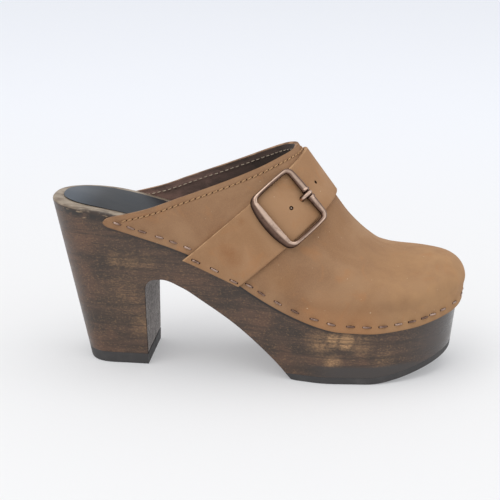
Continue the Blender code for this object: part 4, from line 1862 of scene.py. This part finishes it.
    def toe_turn(self, side: Side, want: float, axis: int) -> Station:
        """Station on the toe whose staple has a wanted x (axis 0) or y (axis 1).

        Args:
            side: which side.
            want: the wanted x or y.
            axis: 0 or 1.

        Returns:
            The station.
        """
        def ahead(turn: float) -> bool:
            """Whether the wanted place lies further round the toe."""
            value = LAST.rib(LAST.toe_station(turn), side)[self.staple_rib_point][axis]
            return value < want if axis == 0 else (value - want) * side.value > 0.0

        return LAST.toe_station(halved(0.0, QUARTER, 24, ahead))

    def staple_seats(self) -> list[Seat]:
        """Places of all staples of the upper's own edge."""
        seats = []
        for side in Side:
            for x in self.staple_xs:
                station = LAST.side_station(x) if x <= LAST.toe_arc else self.toe_turn(side, x, 0)
                seats.append(self.low_seat(side, station))
        for y in self.tip_ys:
            side = Side.LATERAL if y < AXIS(LAST.toe) else Side.MEDIAL
            seats.append(self.low_seat(side, self.toe_turn(side, y, 1)))
        return seats

    def fold(self, place: Vector) -> float:
        """Depth of the folds and the gentle waves of the leather at a place.

        Args:
            place: point of the upper.

        Returns:
            The depth.
        """
        wave = noise.noise(place * self.long_wave[0]) * self.long_wave[1]
        shifted = place * self.short_wave[0] + Vector(self.short_wave_shift)
        wave += noise.noise(shifted) * self.short_wave[1]
        depth = sum(trough.at(place) for trough in self.folds)
        return depth + max(self.wave_least, wave + self.wave_base)

    def shell(self) -> tuple[Shape, list[float]]:
        """Outside of the upper as an open surface.

        Returns:
            The surface, and the distance of each point from the lower edge.
        """
        shape = Shape()
        stations = self.stations()
        shares = crowded(self.rib_steps, self.rib_crowd)
        from_low = []
        width = self.rib_steps + 1
        for side in Side:
            start = len(shape.points)
            for station in stations:
                rib = LAST.rib(station, side)
                length = run_length(rib)
                for share, place in zip(shares, spread(rib, shares)):
                    shape.point(place)
                    from_low.append(length * share)
            for r in range(len(stations) - 1):
                for k in range(self.rib_steps):
                    a = start + r * width + k
                    face = (a, a + width, a + width + 1, a + 1)
                    shape.face(face if side is Side.LATERAL else face[::-1])
        return shape, from_low

    def relieved(self, shape: Shape, from_low: Sequence[float]) -> Shape:
        """The shell with folds, the stitch groove and the staples' dimples worked in.

        Args:
            shape: the plain shell.
            from_low: distance of each point from the lower edge.

        Returns:
            A shell with the same faces, whose wear value is the dirt and painted shade round staples,
            holes and the lower edge.
        """
        groove = near_tree(spread(self.collar_row(), evenly(0.0, 1.0, self.groove_points)))
        pins = near_tree([seat.point for seat in self.staple_seats()])
        made = Shape()
        for place, low in zip(shape.points, from_low):
            _, out, _, _ = self.skin.find_nearest(place)
            _, _, far = groove.find(place)
            _, _, pin = pins.find(place)
            across = STRAP.across(place)
            free = clamp(max(STRAP.rear - across, across - STRAP.front) / self.strap_margin)
            above = clamp(low / self.edge_band)
            depth = self.fold(place) * free * above
            depth += self.groove_depth * bell(far, self.groove_reach)
            depth += self.pin_depth * bell(pin, self.pin_reach)
            depth -= self.edge_swell * (1.0 - bell(pin, self.swell_reach)) * (1.0 - above) * free
            # dirt and painted shade: darker in the stitch groove, round the staples and along the lower
            # edge
            dirt_and_shade = sum(
                share * bell(way, reach) for way, (share, reach) in zip((far, pin, low), self.dirt_and_shade)
            )
            made.point(place - out * depth, min(1.0, dirt_and_shade))
        made.faces = shape.faces
        made.slots = shape.slots
        return made

    def build_shell(self) -> None:
        """Builds the upper with its lining and cut edges."""
        plain, from_low = self.shell()
        rough = plain.mesh("upper_plain", closed=False)
        self.skin = self.plain_skin = self.tree(rough)
        bpy.data.meshes.remove(rough)
        mesh = self.relieved(plain, from_low).mesh("upper_shell", closed=False)
        self.skin = self.tree(mesh)
        clad(mesh, self.picked("nubuck", "lining", "edge"))
        obj = loose(mesh)
        wall = obj.modifiers.new("wall", "SOLIDIFY")
        wall.thickness = LAST.leather * MM
        wall.offset = -1.0
        wall.use_even_offset = False
        wall.use_quality_normals = True
        wall.material_offset = 1
        wall.material_offset_rim = 2
        bevel = obj.modifiers.new("edge", "BEVEL")
        bevel.width = self.edge_round * MM
        bevel.segments = self.edge_segments
        bevel.limit_method = "ANGLE"
        bevel.angle_limit = self.edge_angle
        solid = applied(obj)
        solid.name = "upper_shell"
        solid.shade_smooth()
        place_piece("upper_shell", solid, ["upper"])

    def add_stitch(self, shape: Shape, seat: Seat, stitch: Stitch) -> None:
        """Adds one stitch whose ends dip into the leather.

        Args:
            shape: the shape it goes into.
            seat: its middle.
            stitch: its sizes.
        """
        along = seat.turned(stitch.slant) * (stitch.share * self.stitch_pitch)
        path = [seat.point + along * share + seat.out * rise for share, rise, _ in self.stitch_form]
        widths = [stitch.radius * size for _, _, size in self.stitch_form]
        heights = [width * self.stitch_flatness for width in widths]
        tube(shape, path, [seat.out] * len(path), widths, heights, 8)

    def add_pit(self, shape: Shape, seat: Seat, pit: Pit) -> None:
        """Adds a small pit mark for painted shade, sunk into the leather round its rim.

        Args:
            shape: the shape it goes into.
            seat: its middle.
            pit: its sizes.
        """
        sides = 10
        levels = ((1.0, -0.35), (0.92, 0.0), (0.5, pit.rise), (0.12, pit.rise + 0.01))
        rings = [seat.ring(rise, pit.long * reach, pit.wide * reach, sides) for reach, rise in levels]
        shape.rings(rings)

    def build_stitches(self) -> None:
        """Builds the collar stitching, outside and inside."""
        row = self.collar_row()
        count = int(run_length(row) / self.stitch_pitch)
        spots = spread(row, evenly(0.0, 1.0, 2 * count))
        outs = [self.plain_skin.find_nearest(spot)[1] for spot in spots]
        thread, pits, inner = Shape(), Shape(), Shape()
        for k in range(1, 2 * count):
            place = self.skin.find_nearest(spots[k])[0]
            out = sum(outs[max(0, k - 3):k + 4], Vector()).normalized()
            along = (spots[k + 1] - spots[k - 1]).normalized()
            seat = Seat(place, out, along)
            if k % 2:
                self.add_stitch(thread, seat, self.outer_stitch)
                inside = Seat(place - out * (LAST.leather + self.inner_rise), -out, along)
                self.add_stitch(inner, inside, self.inner_stitch)
            else:
                slanted = seat._replace(along=seat.turned(self.stitch_hole_slant))
                self.add_pit(pits, slanted, self.stitch_hole)
        place_shape("collar_stitches", thread, self.picked("thread"))
        # the stitch holes are pits in painted shade
        place_shape("collar_stitch_holes", pits, self.picked("pierced"))
        place_shape("lining_stitches", inner, self.picked("pale_thread"))

    def strap_staple_seats(self) -> list[Seat]:
        """Places of the staples on both lower ends of the strap."""
        def spot(side: Side, share: float, up: float) -> Vector:
            """Point on the upper at a rise over the strap's end."""
            line = STRAP.line(side, STRAP.at(share))
            return spread(line, [up / run_length(line)])[0]

        step = 0.03
        seats = []
        for side in Side:
            for share, up in self.strap_staples:
                along = (spot(side, share + step, up) - spot(side, share - step, up)).normalized()
                line = STRAP.line(side, STRAP.at(share))
                out = along.cross((line[4] - line[0]).normalized()).normalized()
                if out.y * side.value < 0.0:
                    out = -out
                place = spot(side, share, up) + out * (STRAP.gap + STRAP.thickness)
                seats.append(Seat(place, out, along))
        return seats

    def build_staples(self) -> None:
        """Builds all staples as one mesh, and the pits at their ends as another."""
        wire, pits = Shape(), Shape()
        count = len(self.staple_bends)
        wide, high = self.staple_half
        for square in self.staple_seats() + self.strap_staple_seats():
            skew = self.staple_skew * noise.noise(square.point * self.staple_skew_pitch)
            seat = square._replace(along=square.turned(skew))
            path = [seat.point + seat.along * run + seat.out * rise for run, rise in self.staple_bends]
            tube(wire, path, [seat.out] * count, [wide] * count, [high] * count, self.staple_sides)
            self.add_pit(pits, seat, self.staple_dent)
            for end in (-self.staple_hole_at, self.staple_hole_at):
                self.add_pit(pits, seat._replace(point=seat.point + seat.along * end), self.staple_hole)
        place_shape("staples", wire, self.picked("staple"))
        # the dents and holes at the staples are pits in painted shade
        place_shape("staple_holes", pits, self.picked("pierced"))

    def build(self) -> None:
        """Builds all pieces of the upper."""
        self.build_shell()
        self.build_stitches()
        self.build_staples()


class Hole(NamedTuple):
    """A hole in the strap: place across it, mm down from the crest, radius."""

    across: float
    down: float
    radius: float


@dataclass
class Strap(Assembly):
    """Instep strap with its punched holes.

    A fold is a place across the strap, mm down from the crest, reach and depth.
    """

    edge: float = 0.8
    edge_shares: tuple[float, ...] = (0.0, 0.006, 0.015, 0.028)
    end_shares: tuple[float, ...] = (0.004, 0.009)
    across_steps: int = 26
    along_steps: int = 62
    crease: float = 60.0
    holes: tuple[Hole, ...] = (Hole(20.0, 41.6, 1.15), Hole(19.5, 18.2, 0.95), Hole(20.4, 33.6, 1.5))
    hole_levels: tuple[float, ...] = (-1.7, -0.9, -0.3, 1.0)
    hole_sides: int = 28
    rivet_hole: int = 0
    rivet_radius: float = 0.72
    rivet_rise: float = 0.75
    rivet_sink: float = 0.8
    rivet_turns: tuple[float, ...] = (0.05, 0.35, 0.7, 1.05, 1.4, 1.57)
    rivet_tip: float = 0.03
    rivet_sides: int = 20
    folds: tuple[tuple[float, float, float, float], ...] = (
        (9.5, 63.0, 4.0, 0.16),
        (12.5, 66.0, 3.0, 0.12),
        (20.0, 25.0, 9.0, 0.22),
        (18.0, 76.0, 10.0, -0.25),
    )
    wave: Pair = (0.05, 0.14)
    wave_shift: Triple = (2.0, 9.0, 4.0)
    wave_base: float = 0.1

    def grid(self, acrosses: Sequence[float]) -> list[list[Vector]]:
        """Lines of points on the upper, from the lateral end over the crest to the medial end.

        Args:
            acrosses: mm across the band, for each line.

        Returns:
            The lines.
        """
        shares = evenly(0.0, 1.0, self.along_steps)
        shares[1:1] = self.end_shares
        found = []
        for across in acrosses:
            outer = spread(STRAP.line(Side.LATERAL, across), shares)
            inner = spread(STRAP.line(Side.MEDIAL, across), shares)
            found.append(outer + inner[-2::-1])
        return found

    def cross_rings(
        self, grid: Sequence[Sequence[Vector]], shares: Sequence[float],
    ) -> list[list[Vector]]:
        """Rings round the strap, one for each place along it.

        Args:
            grid: lines of points on the upper.
            shares: each line's share of the strap's width.

        Returns:
            The rings, each with the outside first and then the inside.
        """
        width = STRAP.front - STRAP.rear
        rows, columns = len(grid), len(grid[0])
        rings = []
        for k in range(columns):
            top, foot = [], []
            for r, line in enumerate(grid):
                here = line[k]
                along = line[min(k + 1, columns - 1)] - line[max(k - 1, 0)]
                over = grid[min(r + 1, rows - 1)][k] - grid[max(r - 1, 0)][k]
                out = over.cross(along).normalized()
                to_edge = min(shares[r], 1.0 - shares[r]) * width
                near = min(to_edge, (here - line[0]).length, (here - line[-1]).length)
                drop = self.sag(line, k, shares[r] * width + STRAP.rear)
                if near < self.edge:
                    drop += self.edge - math.sqrt(self.edge ** 2 - (self.edge - near) ** 2)
                top.append(here + out * (STRAP.gap + STRAP.thickness - drop))
                foot.append(here + out * STRAP.gap)
            rings.append(top + foot[::-1])
        return rings

    def sag(self, line: Sequence[Vector], k: int, across: float) -> float:
        """Depth of the strap's own soft folds on the lateral side, and its gentle waves.

        Args:
            line: a line along the strap.
            k: number of the point on it.
            across: mm across the strap's band.

        Returns:
            The depth.
        """
        shifted = line[k] * self.wave[0] + Vector(self.wave_shift)
        depth = self.wave_base + self.wave[1] * noise.noise(shifted)
        middle = len(line) // 2
        if k < middle:
            down = run_length(line[k:middle + 1])
            for at, low, reach, deep in self.folds:
                depth += deep * bell(math.hypot(across - at, 0.5 * (down - low)), reach)
        return max(0.0, depth)

    def build_band(self) -> None:
        """Builds the strap with its holes."""
        shares = list(self.edge_shares) + evenly(0.0, 1.0, self.across_steps)[1:-1]
        shares += [1.0 - share for share in self.edge_shares[::-1]]
        rings = self.cross_rings(self.grid([STRAP.at(share) for share in shares]), shares)
        last = len(rings[0]) - 1

        def slot(r: int, k: int) -> int:
            """Pale cut edge with a painted highlight along the rear side, nubuck elsewhere."""
            return 1 if k < 2 or k == last else 0

        shape = Shape()
        shape.rings(rings, slot)
        solid = self.punched(shape.mesh("instep_strap", crease=self.crease))
        solid.name = "instep_strap"
        place_piece("instep_strap", solid, ["strap"])

    def hole_seat(self, hole: Hole) -> Seat:
        """Middle of a hole on the strap's outside."""
        return STRAP.seat(hole.across, hole.down, 0.0)

    def punched(self, mesh: bpy.types.Mesh) -> bpy.types.Mesh:
        """The strap with its holes cut, with painted shade inside.

        Args:
            mesh: the strap without holes.

        Returns:
            The cut mesh.
        """
        cutters = Shape()
        for hole in self.holes:
            seat = self.hole_seat(hole)
            rings = [seat.ring(z, hole.radius, hole.radius, self.hole_sides) for z in self.hole_levels]
            # the hole walls take the painted shade finish
            cutters.rings(rings, slot=lambda r, k: 2)
        tool = cutters.mesh("strap_punch")
        for made in (mesh, tool):
            clad(made, self.picked("strap_nubuck", "strap_edge", "pierced"))
        punch = loose(tool)
        obj = loose(mesh)
        cut = obj.modifiers.new("holes", "BOOLEAN")
        cut.operation = "DIFFERENCE"
        cut.solver = "EXACT"
        cut.object = punch
        solid = applied(obj)
        bpy.data.objects.remove(punch)
        return solid

    def build_rivet(self) -> None:
        """Builds the small metal head in one hole, whose glint is a painted highlight on its top."""
        seat = self.hole_seat(self.holes[self.rivet_hole])
        rings = []
        for turn in self.rivet_turns:
            reach = max(self.rivet_tip, math.cos(turn) * self.rivet_radius)
            rise = math.sin(turn) * self.rivet_rise - self.rivet_sink
            rings.append(seat.ring(rise, reach, reach, self.rivet_sides))
        shape = Shape()
        # painted highlight: the top rings come out brightest
        shape.rings(rings, wear_and_painted_light=lambda r, k: 0.8 + 0.04 * r)
        place_shape("strap_rivet", shape, self.picked("bronze"))

    def build(self) -> None:
        """Builds the strap and the rivet that shows in one of its holes."""
        self.build_band()
        self.build_rivet()


@dataclass
class Buckle(Assembly):
    """Cast frame with a heavy lower bar and a notch for the prong, bent to lie on the strap.

    Widths and heights are halves. A bar's pair is what it adds at its ends, and more in its middle. A
    prong row is mm down from the crest, rise over the strap and radius.
    """

    middle: float = 19.4
    upper: float = 30.3
    lower: float = 55.5
    reach: float = 16.6
    corner: float = 2.9
    corner_steps: int = 14
    bar_steps: tuple[int, ...] = (22, 34, 22, 56)
    bar_fade: float = 3.0
    skew: float = 0.1
    bow: float = 1.1
    upper_bow: float = 0.45
    side_bow: float = 0.5
    side_bow_power: int = 5
    swell_power: float = 2.6
    slim_width: float = 1.18
    slim_height: float = 1.25
    lower_width: Pair = (0.5, 1.5)
    lower_height: Pair = (0.25, 0.4)
    upper_width: Pair = (0.4, 0.65)
    upper_height: Pair = (0.15, 0.25)
    notch_at: float = 20.4
    notch_half: float = 1.7
    notch_share: float = 0.55
    notch_reach: float = 0.8
    collar_share: float = 0.2
    collar_at: float = 1.45
    collar_reach: float = 0.38
    collar_rise: float = 1.2
    gap: float = 0.3
    sides: int = 28
    flat_power: float = 0.86
    rise_power: float = 0.96
    crown: float = 0.34
    # where the painted highlight sits round each bar, and how bright it gets
    lower_lit_turn: float = math.radians(34.0)
    upper_lit_turn: float = math.radians(12.0)
    side_lit_turn: float = math.radians(-24.0)
    lit_scale: float = 0.965
    lower_lit_boost: float = 0.1
    crease: float = 75.0
    prong_rows: tuple[Triple, ...] = (
        (34.0, -1.2, 1.1),
        (33.9, -0.2, 1.25),
        (33.7, 0.7, 1.36),
        (33.3, 1.7, 1.42),
        (32.6, 2.6, 1.44),
        (31.6, 3.2, 1.44),
        (30.6, 3.4, 1.42),
        (29.7, 3.35, 1.34),
        (29.0, 3.2, 1.14),
        (28.6, 3.05, 0.8),
        (28.4, 2.95, 0.4),
    )
    prong_sides: int = 20

    def near_lower(self, down: float) -> float:
        """1 on the lower bar, fading out above it."""
        return bell(max(0.0, self.lower - down), self.bar_fade)

    def near_upper(self, down: float) -> float:
        """1 on the upper bar, fading out below it."""
        return bell(max(0.0, down - self.upper), self.bar_fade)

    def path(self) -> list[Pair]:
        """Line once round the middle of the frame.

        Returns:
            Its places as (across, down).
        """
        r = self.corner
        rear, front = self.middle - self.reach + r, self.middle + self.reach - r
        top, foot = self.upper + r, self.lower - r
        corners = ((front, top), (front, foot), (rear, foot), (rear, top))
        arcs = []
        for n, (across, down) in enumerate(corners):
            turns = [QUARTER * (n - 1 + share) for share in evenly(0.0, 1.0, self.corner_steps)]
            arcs.append([(across + r * math.cos(t), down + r * math.sin(t)) for t in turns])
        found = []
        for n, arc in enumerate(arcs):
            a, b = arc[-1], arcs[(n + 1) % len(arcs)][0]
            steps = self.bar_steps[n]
            straight = zip(evenly(a[0], b[0], steps), evenly(a[1], b[1], steps))
            found += arc + list(straight)[1:-1]
        return found

    def bar(self, across: float, down: float) -> Pair:
        """Half width and half height at a place: full in the middle of a bar, slimmer at its ends.

        Args:
            across: mm across the strap's band.
            down: mm down from the crest.

        Returns:
            Half width and half height.
        """
        swell = 1.0 - min(1.0, abs(across - self.middle) / self.reach) ** self.swell_power
        low, high = self.near_lower(down), self.near_upper(down)

        def size(slim: float, lower: Pair, upper: Pair) -> float:
            """Size from the slim one and what each bar adds."""
            return slim + low * (lower[0] + lower[1] * swell) + high * (upper[0] + upper[1] * swell)

        width = size(self.slim_width, self.lower_width, self.upper_width)
        height = size(self.slim_height, self.lower_height, self.upper_height)
        if down < self.upper + self.corner:
            off = abs(across - self.notch_at) / self.notch_half
            lip = self.collar_share * bell(off - self.collar_at, self.collar_reach)
            width *= 1.0 + lip
            height *= 1.0 - (1.0 - self.notch_share) * bell(off, self.notch_reach)
            height *= 1.0 + self.collar_rise * lip
        return width, height

    def frame_seat(self, across: float, down: float, height: float) -> Seat:
        """Middle of the frame over the strap, with its bows, bulges and skew.

        Args:
            across: mm across the strap's band.
            down: mm down from the crest.
            height: half height of the bar.

        Returns:
            The place.
        """
        off = (across - self.middle) / self.reach
        bowed = self.bow * self.near_lower(down) - self.upper_bow * self.near_upper(down)
        level = (2.0 * down - self.upper - self.lower) / (self.lower - self.upper)
        bulge = self.side_bow * off ** self.side_bow_power * max(0.0, 1.0 - level * level)
        slant = self.skew * (across - self.middle)
        moved = down + slant + bowed * (1.0 - off * off)
        return STRAP.seat(across + bulge, moved, self.gap + height)

    def build_frame(self) -> None:
        """Builds the frame."""
        places = self.path()
        sizes = [self.bar(*place) for place in places]
        seats = [self.frame_seat(*place, height) for place, (_, height) in zip(places, sizes)]
        turns = [FULL_TURN * n / self.sides for n in range(self.sides)]
        rings = []
        for k, seat in enumerate(seats):
            along = seats[(k + 1) % len(seats)].point - seats[k - 1].point
            outward = seat.out.cross(along).normalized()
            low = self.near_lower(places[k][1])
            width, height = sizes[k]
            ring = []
            for turn in turns:
                flat, rise = math.cos(turn), math.sin(turn)
                x = math.copysign(abs(flat) ** self.flat_power, flat)
                z = math.copysign(abs(rise) ** self.rise_power, rise)
                side = width * (x - self.crown * low * max(0.0, z))
                ring.append(seat.point + outward * side + seat.out * z * height)
            rings.append(ring)

        def wear_and_painted_light(r: int, k: int) -> float:
            """Painted highlight on the lit ridge, painted shade below and on the outer slope of the
            heavy bar.
            """
            low, high = self.near_lower(places[r][1]), self.near_upper(places[r][1])
            ridge = self.lower_lit_turn * low + self.upper_lit_turn * high
            ridge += self.side_lit_turn * (1.0 - low - high)
            lit = 0.5 + 0.5 * math.cos(turns[k] - QUARTER - ridge)
            return lit * (self.lit_scale + self.lower_lit_boost * low)

        shape = Shape()
        shape.rings(rings, wear_and_painted_light=wear_and_painted_light, looped=True)
        place_shape("buckle_frame", shape, self.picked("bronze"), ["buckle"], self.crease)

    def build_prong(self) -> None:
        """Builds the prong tip that leaves its hole and lies in the notch."""
        seats = [STRAP.seat(self.notch_at, down, rise) for down, rise, _ in self.prong_rows]
        sizes = [size for _, _, size in self.prong_rows]
        path, out = [seat.point for seat in seats], [seat.out for seat in seats]
        shape = Shape()
        # painted highlight on the prong's top and painted shade underneath
        tube(shape, path, out, sizes, sizes, self.prong_sides, lambda rise: 0.5 + 0.5 * rise)
        finish = self.picked("bronze")
        place_shape("prong_tip", shape, finish, ["buckle_prong"], self.crease)

    def build(self) -> None:
        """Builds frame and prong."""
        self.build_frame()
        self.build_prong()


class Lamp(NamedTuple):
    """A soft square light: name, place and side in metres, watts and colour."""

    name: str
    place: Triple
    size: float
    power: float
    tint: Rgb


@dataclass
class Studio:
    """Pale floor, soft light and the camera."""

    target: Triple = (120.0, 0.0, 66.0)
    elevation: float = math.radians(15.4)
    yaw: float = math.radians(5.0)
    roll: float = math.radians(0.5)
    distance: float = 0.9
    scale: float = 0.583
    sensor: float = 36.0
    pixel: Pair = (258.4, 247.1)
    image: float = 500.0
    floor_half: float = 6.0
    floor_colour: Rgb = (0.56, 0.56, 0.562)
    floor_shade: float = 0.985
    floor_glow: Rgb = (0.272, 0.273, 0.279)
    floor_far_glow: Rgb = (0.292, 0.311, 0.358)
    room_colour: Rgb = (0.97, 0.98, 0.995)
    room_strength: float = 0.88
    lamp_aim: Triple = (0.0, 0.0, 0.06)
    lamps: tuple[Lamp, ...] = (
        Lamp("key", (-0.7, -1.1, 1.5), 1.4, 9.0, (1.0, 0.985, 0.96)),
        Lamp("top", (0.1, 0.2, 1.9), 1.8, 7.8, (1.0, 1.0, 1.0)),
        Lamp("fill", (1.6, -0.1, 0.5), 1.2, 3.6, (0.96, 0.98, 1.0)),
    )

    def build_floor(self) -> None:
        """Builds the floor."""
        d = Dresser("pale_floor")
        tone = d.noise(2.0, 2.0, 0.5)
        shaded = tuple(self.floor_shade * c for c in self.floor_colour)
        d.set(
            Base_Color=d.mix(tone, self.floor_colour, shaded),
            Roughness=0.8,
            Specular_IOR_Level=0.1,
            Emission_Color=d.mix(d.ramp(d.along("Y"), 0.05, 0.9), self.floor_glow, self.floor_far_glow),
            Emission_Strength=1.0,
        )
        mesh = bpy.data.meshes.new("floor")
        h = self.floor_half
        mesh.from_pydata([(-h, -h, 0.0), (h, -h, 0.0), (h, h, 0.0), (-h, h, 0.0)], [], [(0, 1, 2, 3)])
        mesh.materials.append(d.material)
        obj = loose(mesh)

    def build_light(self) -> None:
        """Builds the soft studio light: a pale room and square lights that point at the shoe."""
        scene = bpy.context.scene
        scene.view_settings.view_transform = "Standard"
        world = bpy.data.worlds.new("soft_room")
        world.use_nodes = True
        sky = world.node_tree.nodes["Background"]
        sky.inputs["Color"].default_value = (*self.room_colour, 1.0)
        sky.inputs["Strength"].default_value = self.room_strength
        scene.world = world
        for lamp in self.lamps:
            light = bpy.data.lights.new(lamp.name, "AREA")
            light.shape = "SQUARE"
            light.size = lamp.size
            light.energy = lamp.power
            light.color = lamp.tint
            obj = bpy.data.objects.new(lamp.name, light)
            obj.location = lamp.place
            obj.rotation_mode = "QUATERNION"
            aim = Vector(self.lamp_aim) - Vector(lamp.place)
            obj.rotation_quaternion = aim.to_track_quat("-Z", "Y")
            scene.collection.objects.link(obj)

    def build_camera(self) -> None:
        """Builds the camera at the photograph's angle, for a square picture."""
        e, a, r = self.elevation, self.yaw, self.roll
        back = Vector((math.sin(a) * math.cos(e), -math.cos(a) * math.cos(e), math.sin(e)))
        right = Vector((math.cos(a), math.sin(a), 0.0))
        up = back.cross(right)
        turned_right = right * math.cos(r) + up * math.sin(r)
        turned_up = up * math.cos(r) - right * math.sin(r)
        lens = bpy.data.cameras.new("camera")
        lens.sensor_width = self.sensor
        lens.lens = self.sensor * (self.distance / MM / self.scale) / self.image
        lens.shift_x = (0.5 * self.image - self.pixel[0]) / self.image
        lens.shift_y = (self.pixel[1] - 0.5 * self.image) / self.image
        obj = bpy.data.objects.new("camera", lens)
        bpy.context.scene.collection.objects.link(obj)
        target = (Vector(self.target) + ORIGIN) * MM
        turn = Matrix((turned_right, turned_up, back)).transposed().to_4x4()
        obj.matrix_world = Matrix.Translation(target + back * self.distance) @ turn
        bpy.context.scene.camera = obj

    def build(self) -> None:
        """Builds the studio."""
        self.build_camera()
        self.build_light()
        self.build_floor()


def all_finishes() -> dict[str, bpy.types.Material]:
    """Every finish of the shoe by its short name."""
    finishes: dict[str, Finish] = {
        "nubuck": NubuckFinish(),
        "strap_nubuck": NubuckFinish(
            "strap_nubuck_nap", srgb(163, 127, 96), srgb(149, 113, 83), stain=srgb(138, 95, 64),
            stain_and_shade_spots=(
                (110.0, -42.5, 71.5, 9.0),
                (106.0, -42.0, 76.0, 7.0),
                # painted shade: a thin dark line in a crease beside the buckle's lower bar
                (113.6, -38.5, 91.0, 3.4),
            ),
        ),
        "lining": LiningFinish(),
        "edge": CutEdgeFinish(),
        # pale cut edge, partly a painted highlight where the strap's rear edge catches the light
        "strap_edge": CutEdgeFinish("pale_strap_edge_and_highlight", srgb(184, 147, 111), srgb(152, 117, 86)),
        "wood": WoodFinish(),
        "rim": FootbedRimFinish(),
        "breast": BreastFinish(),
        # painted shade along the edges of the heel breast
        "breast_edge": PaintedShadeFinish("breast_edge_painted_shade", srgb(50, 43, 39), srgb(36, 31, 29)),
        "rubber": RubberFinish(),
        "sock": SockFinish(),
        "bronze": BronzeFinish(),
        "staple": StapleFinish(),
        "thread": ThreadFinish(),
        "pale_thread": ThreadFinish("pale_lining_thread", srgb(204, 188, 168), srgb(160, 142, 124)),
        # painted shade for holes and pits
        "pierced": PaintedShadeFinish(),
    }
    return {name: finish.make() for name, finish in finishes.items()}


def main() -> None:
    """Builds the shoe and the studio."""
    logging.basicConfig(level=logging.INFO, format="%(name)s %(message)s")
    Studio().build()
    finishes = all_finishes()
    for kind in (WoodSole, Upper, Strap, Buckle):
        kind(finishes).build()


if __name__ == "__main__":
    main()
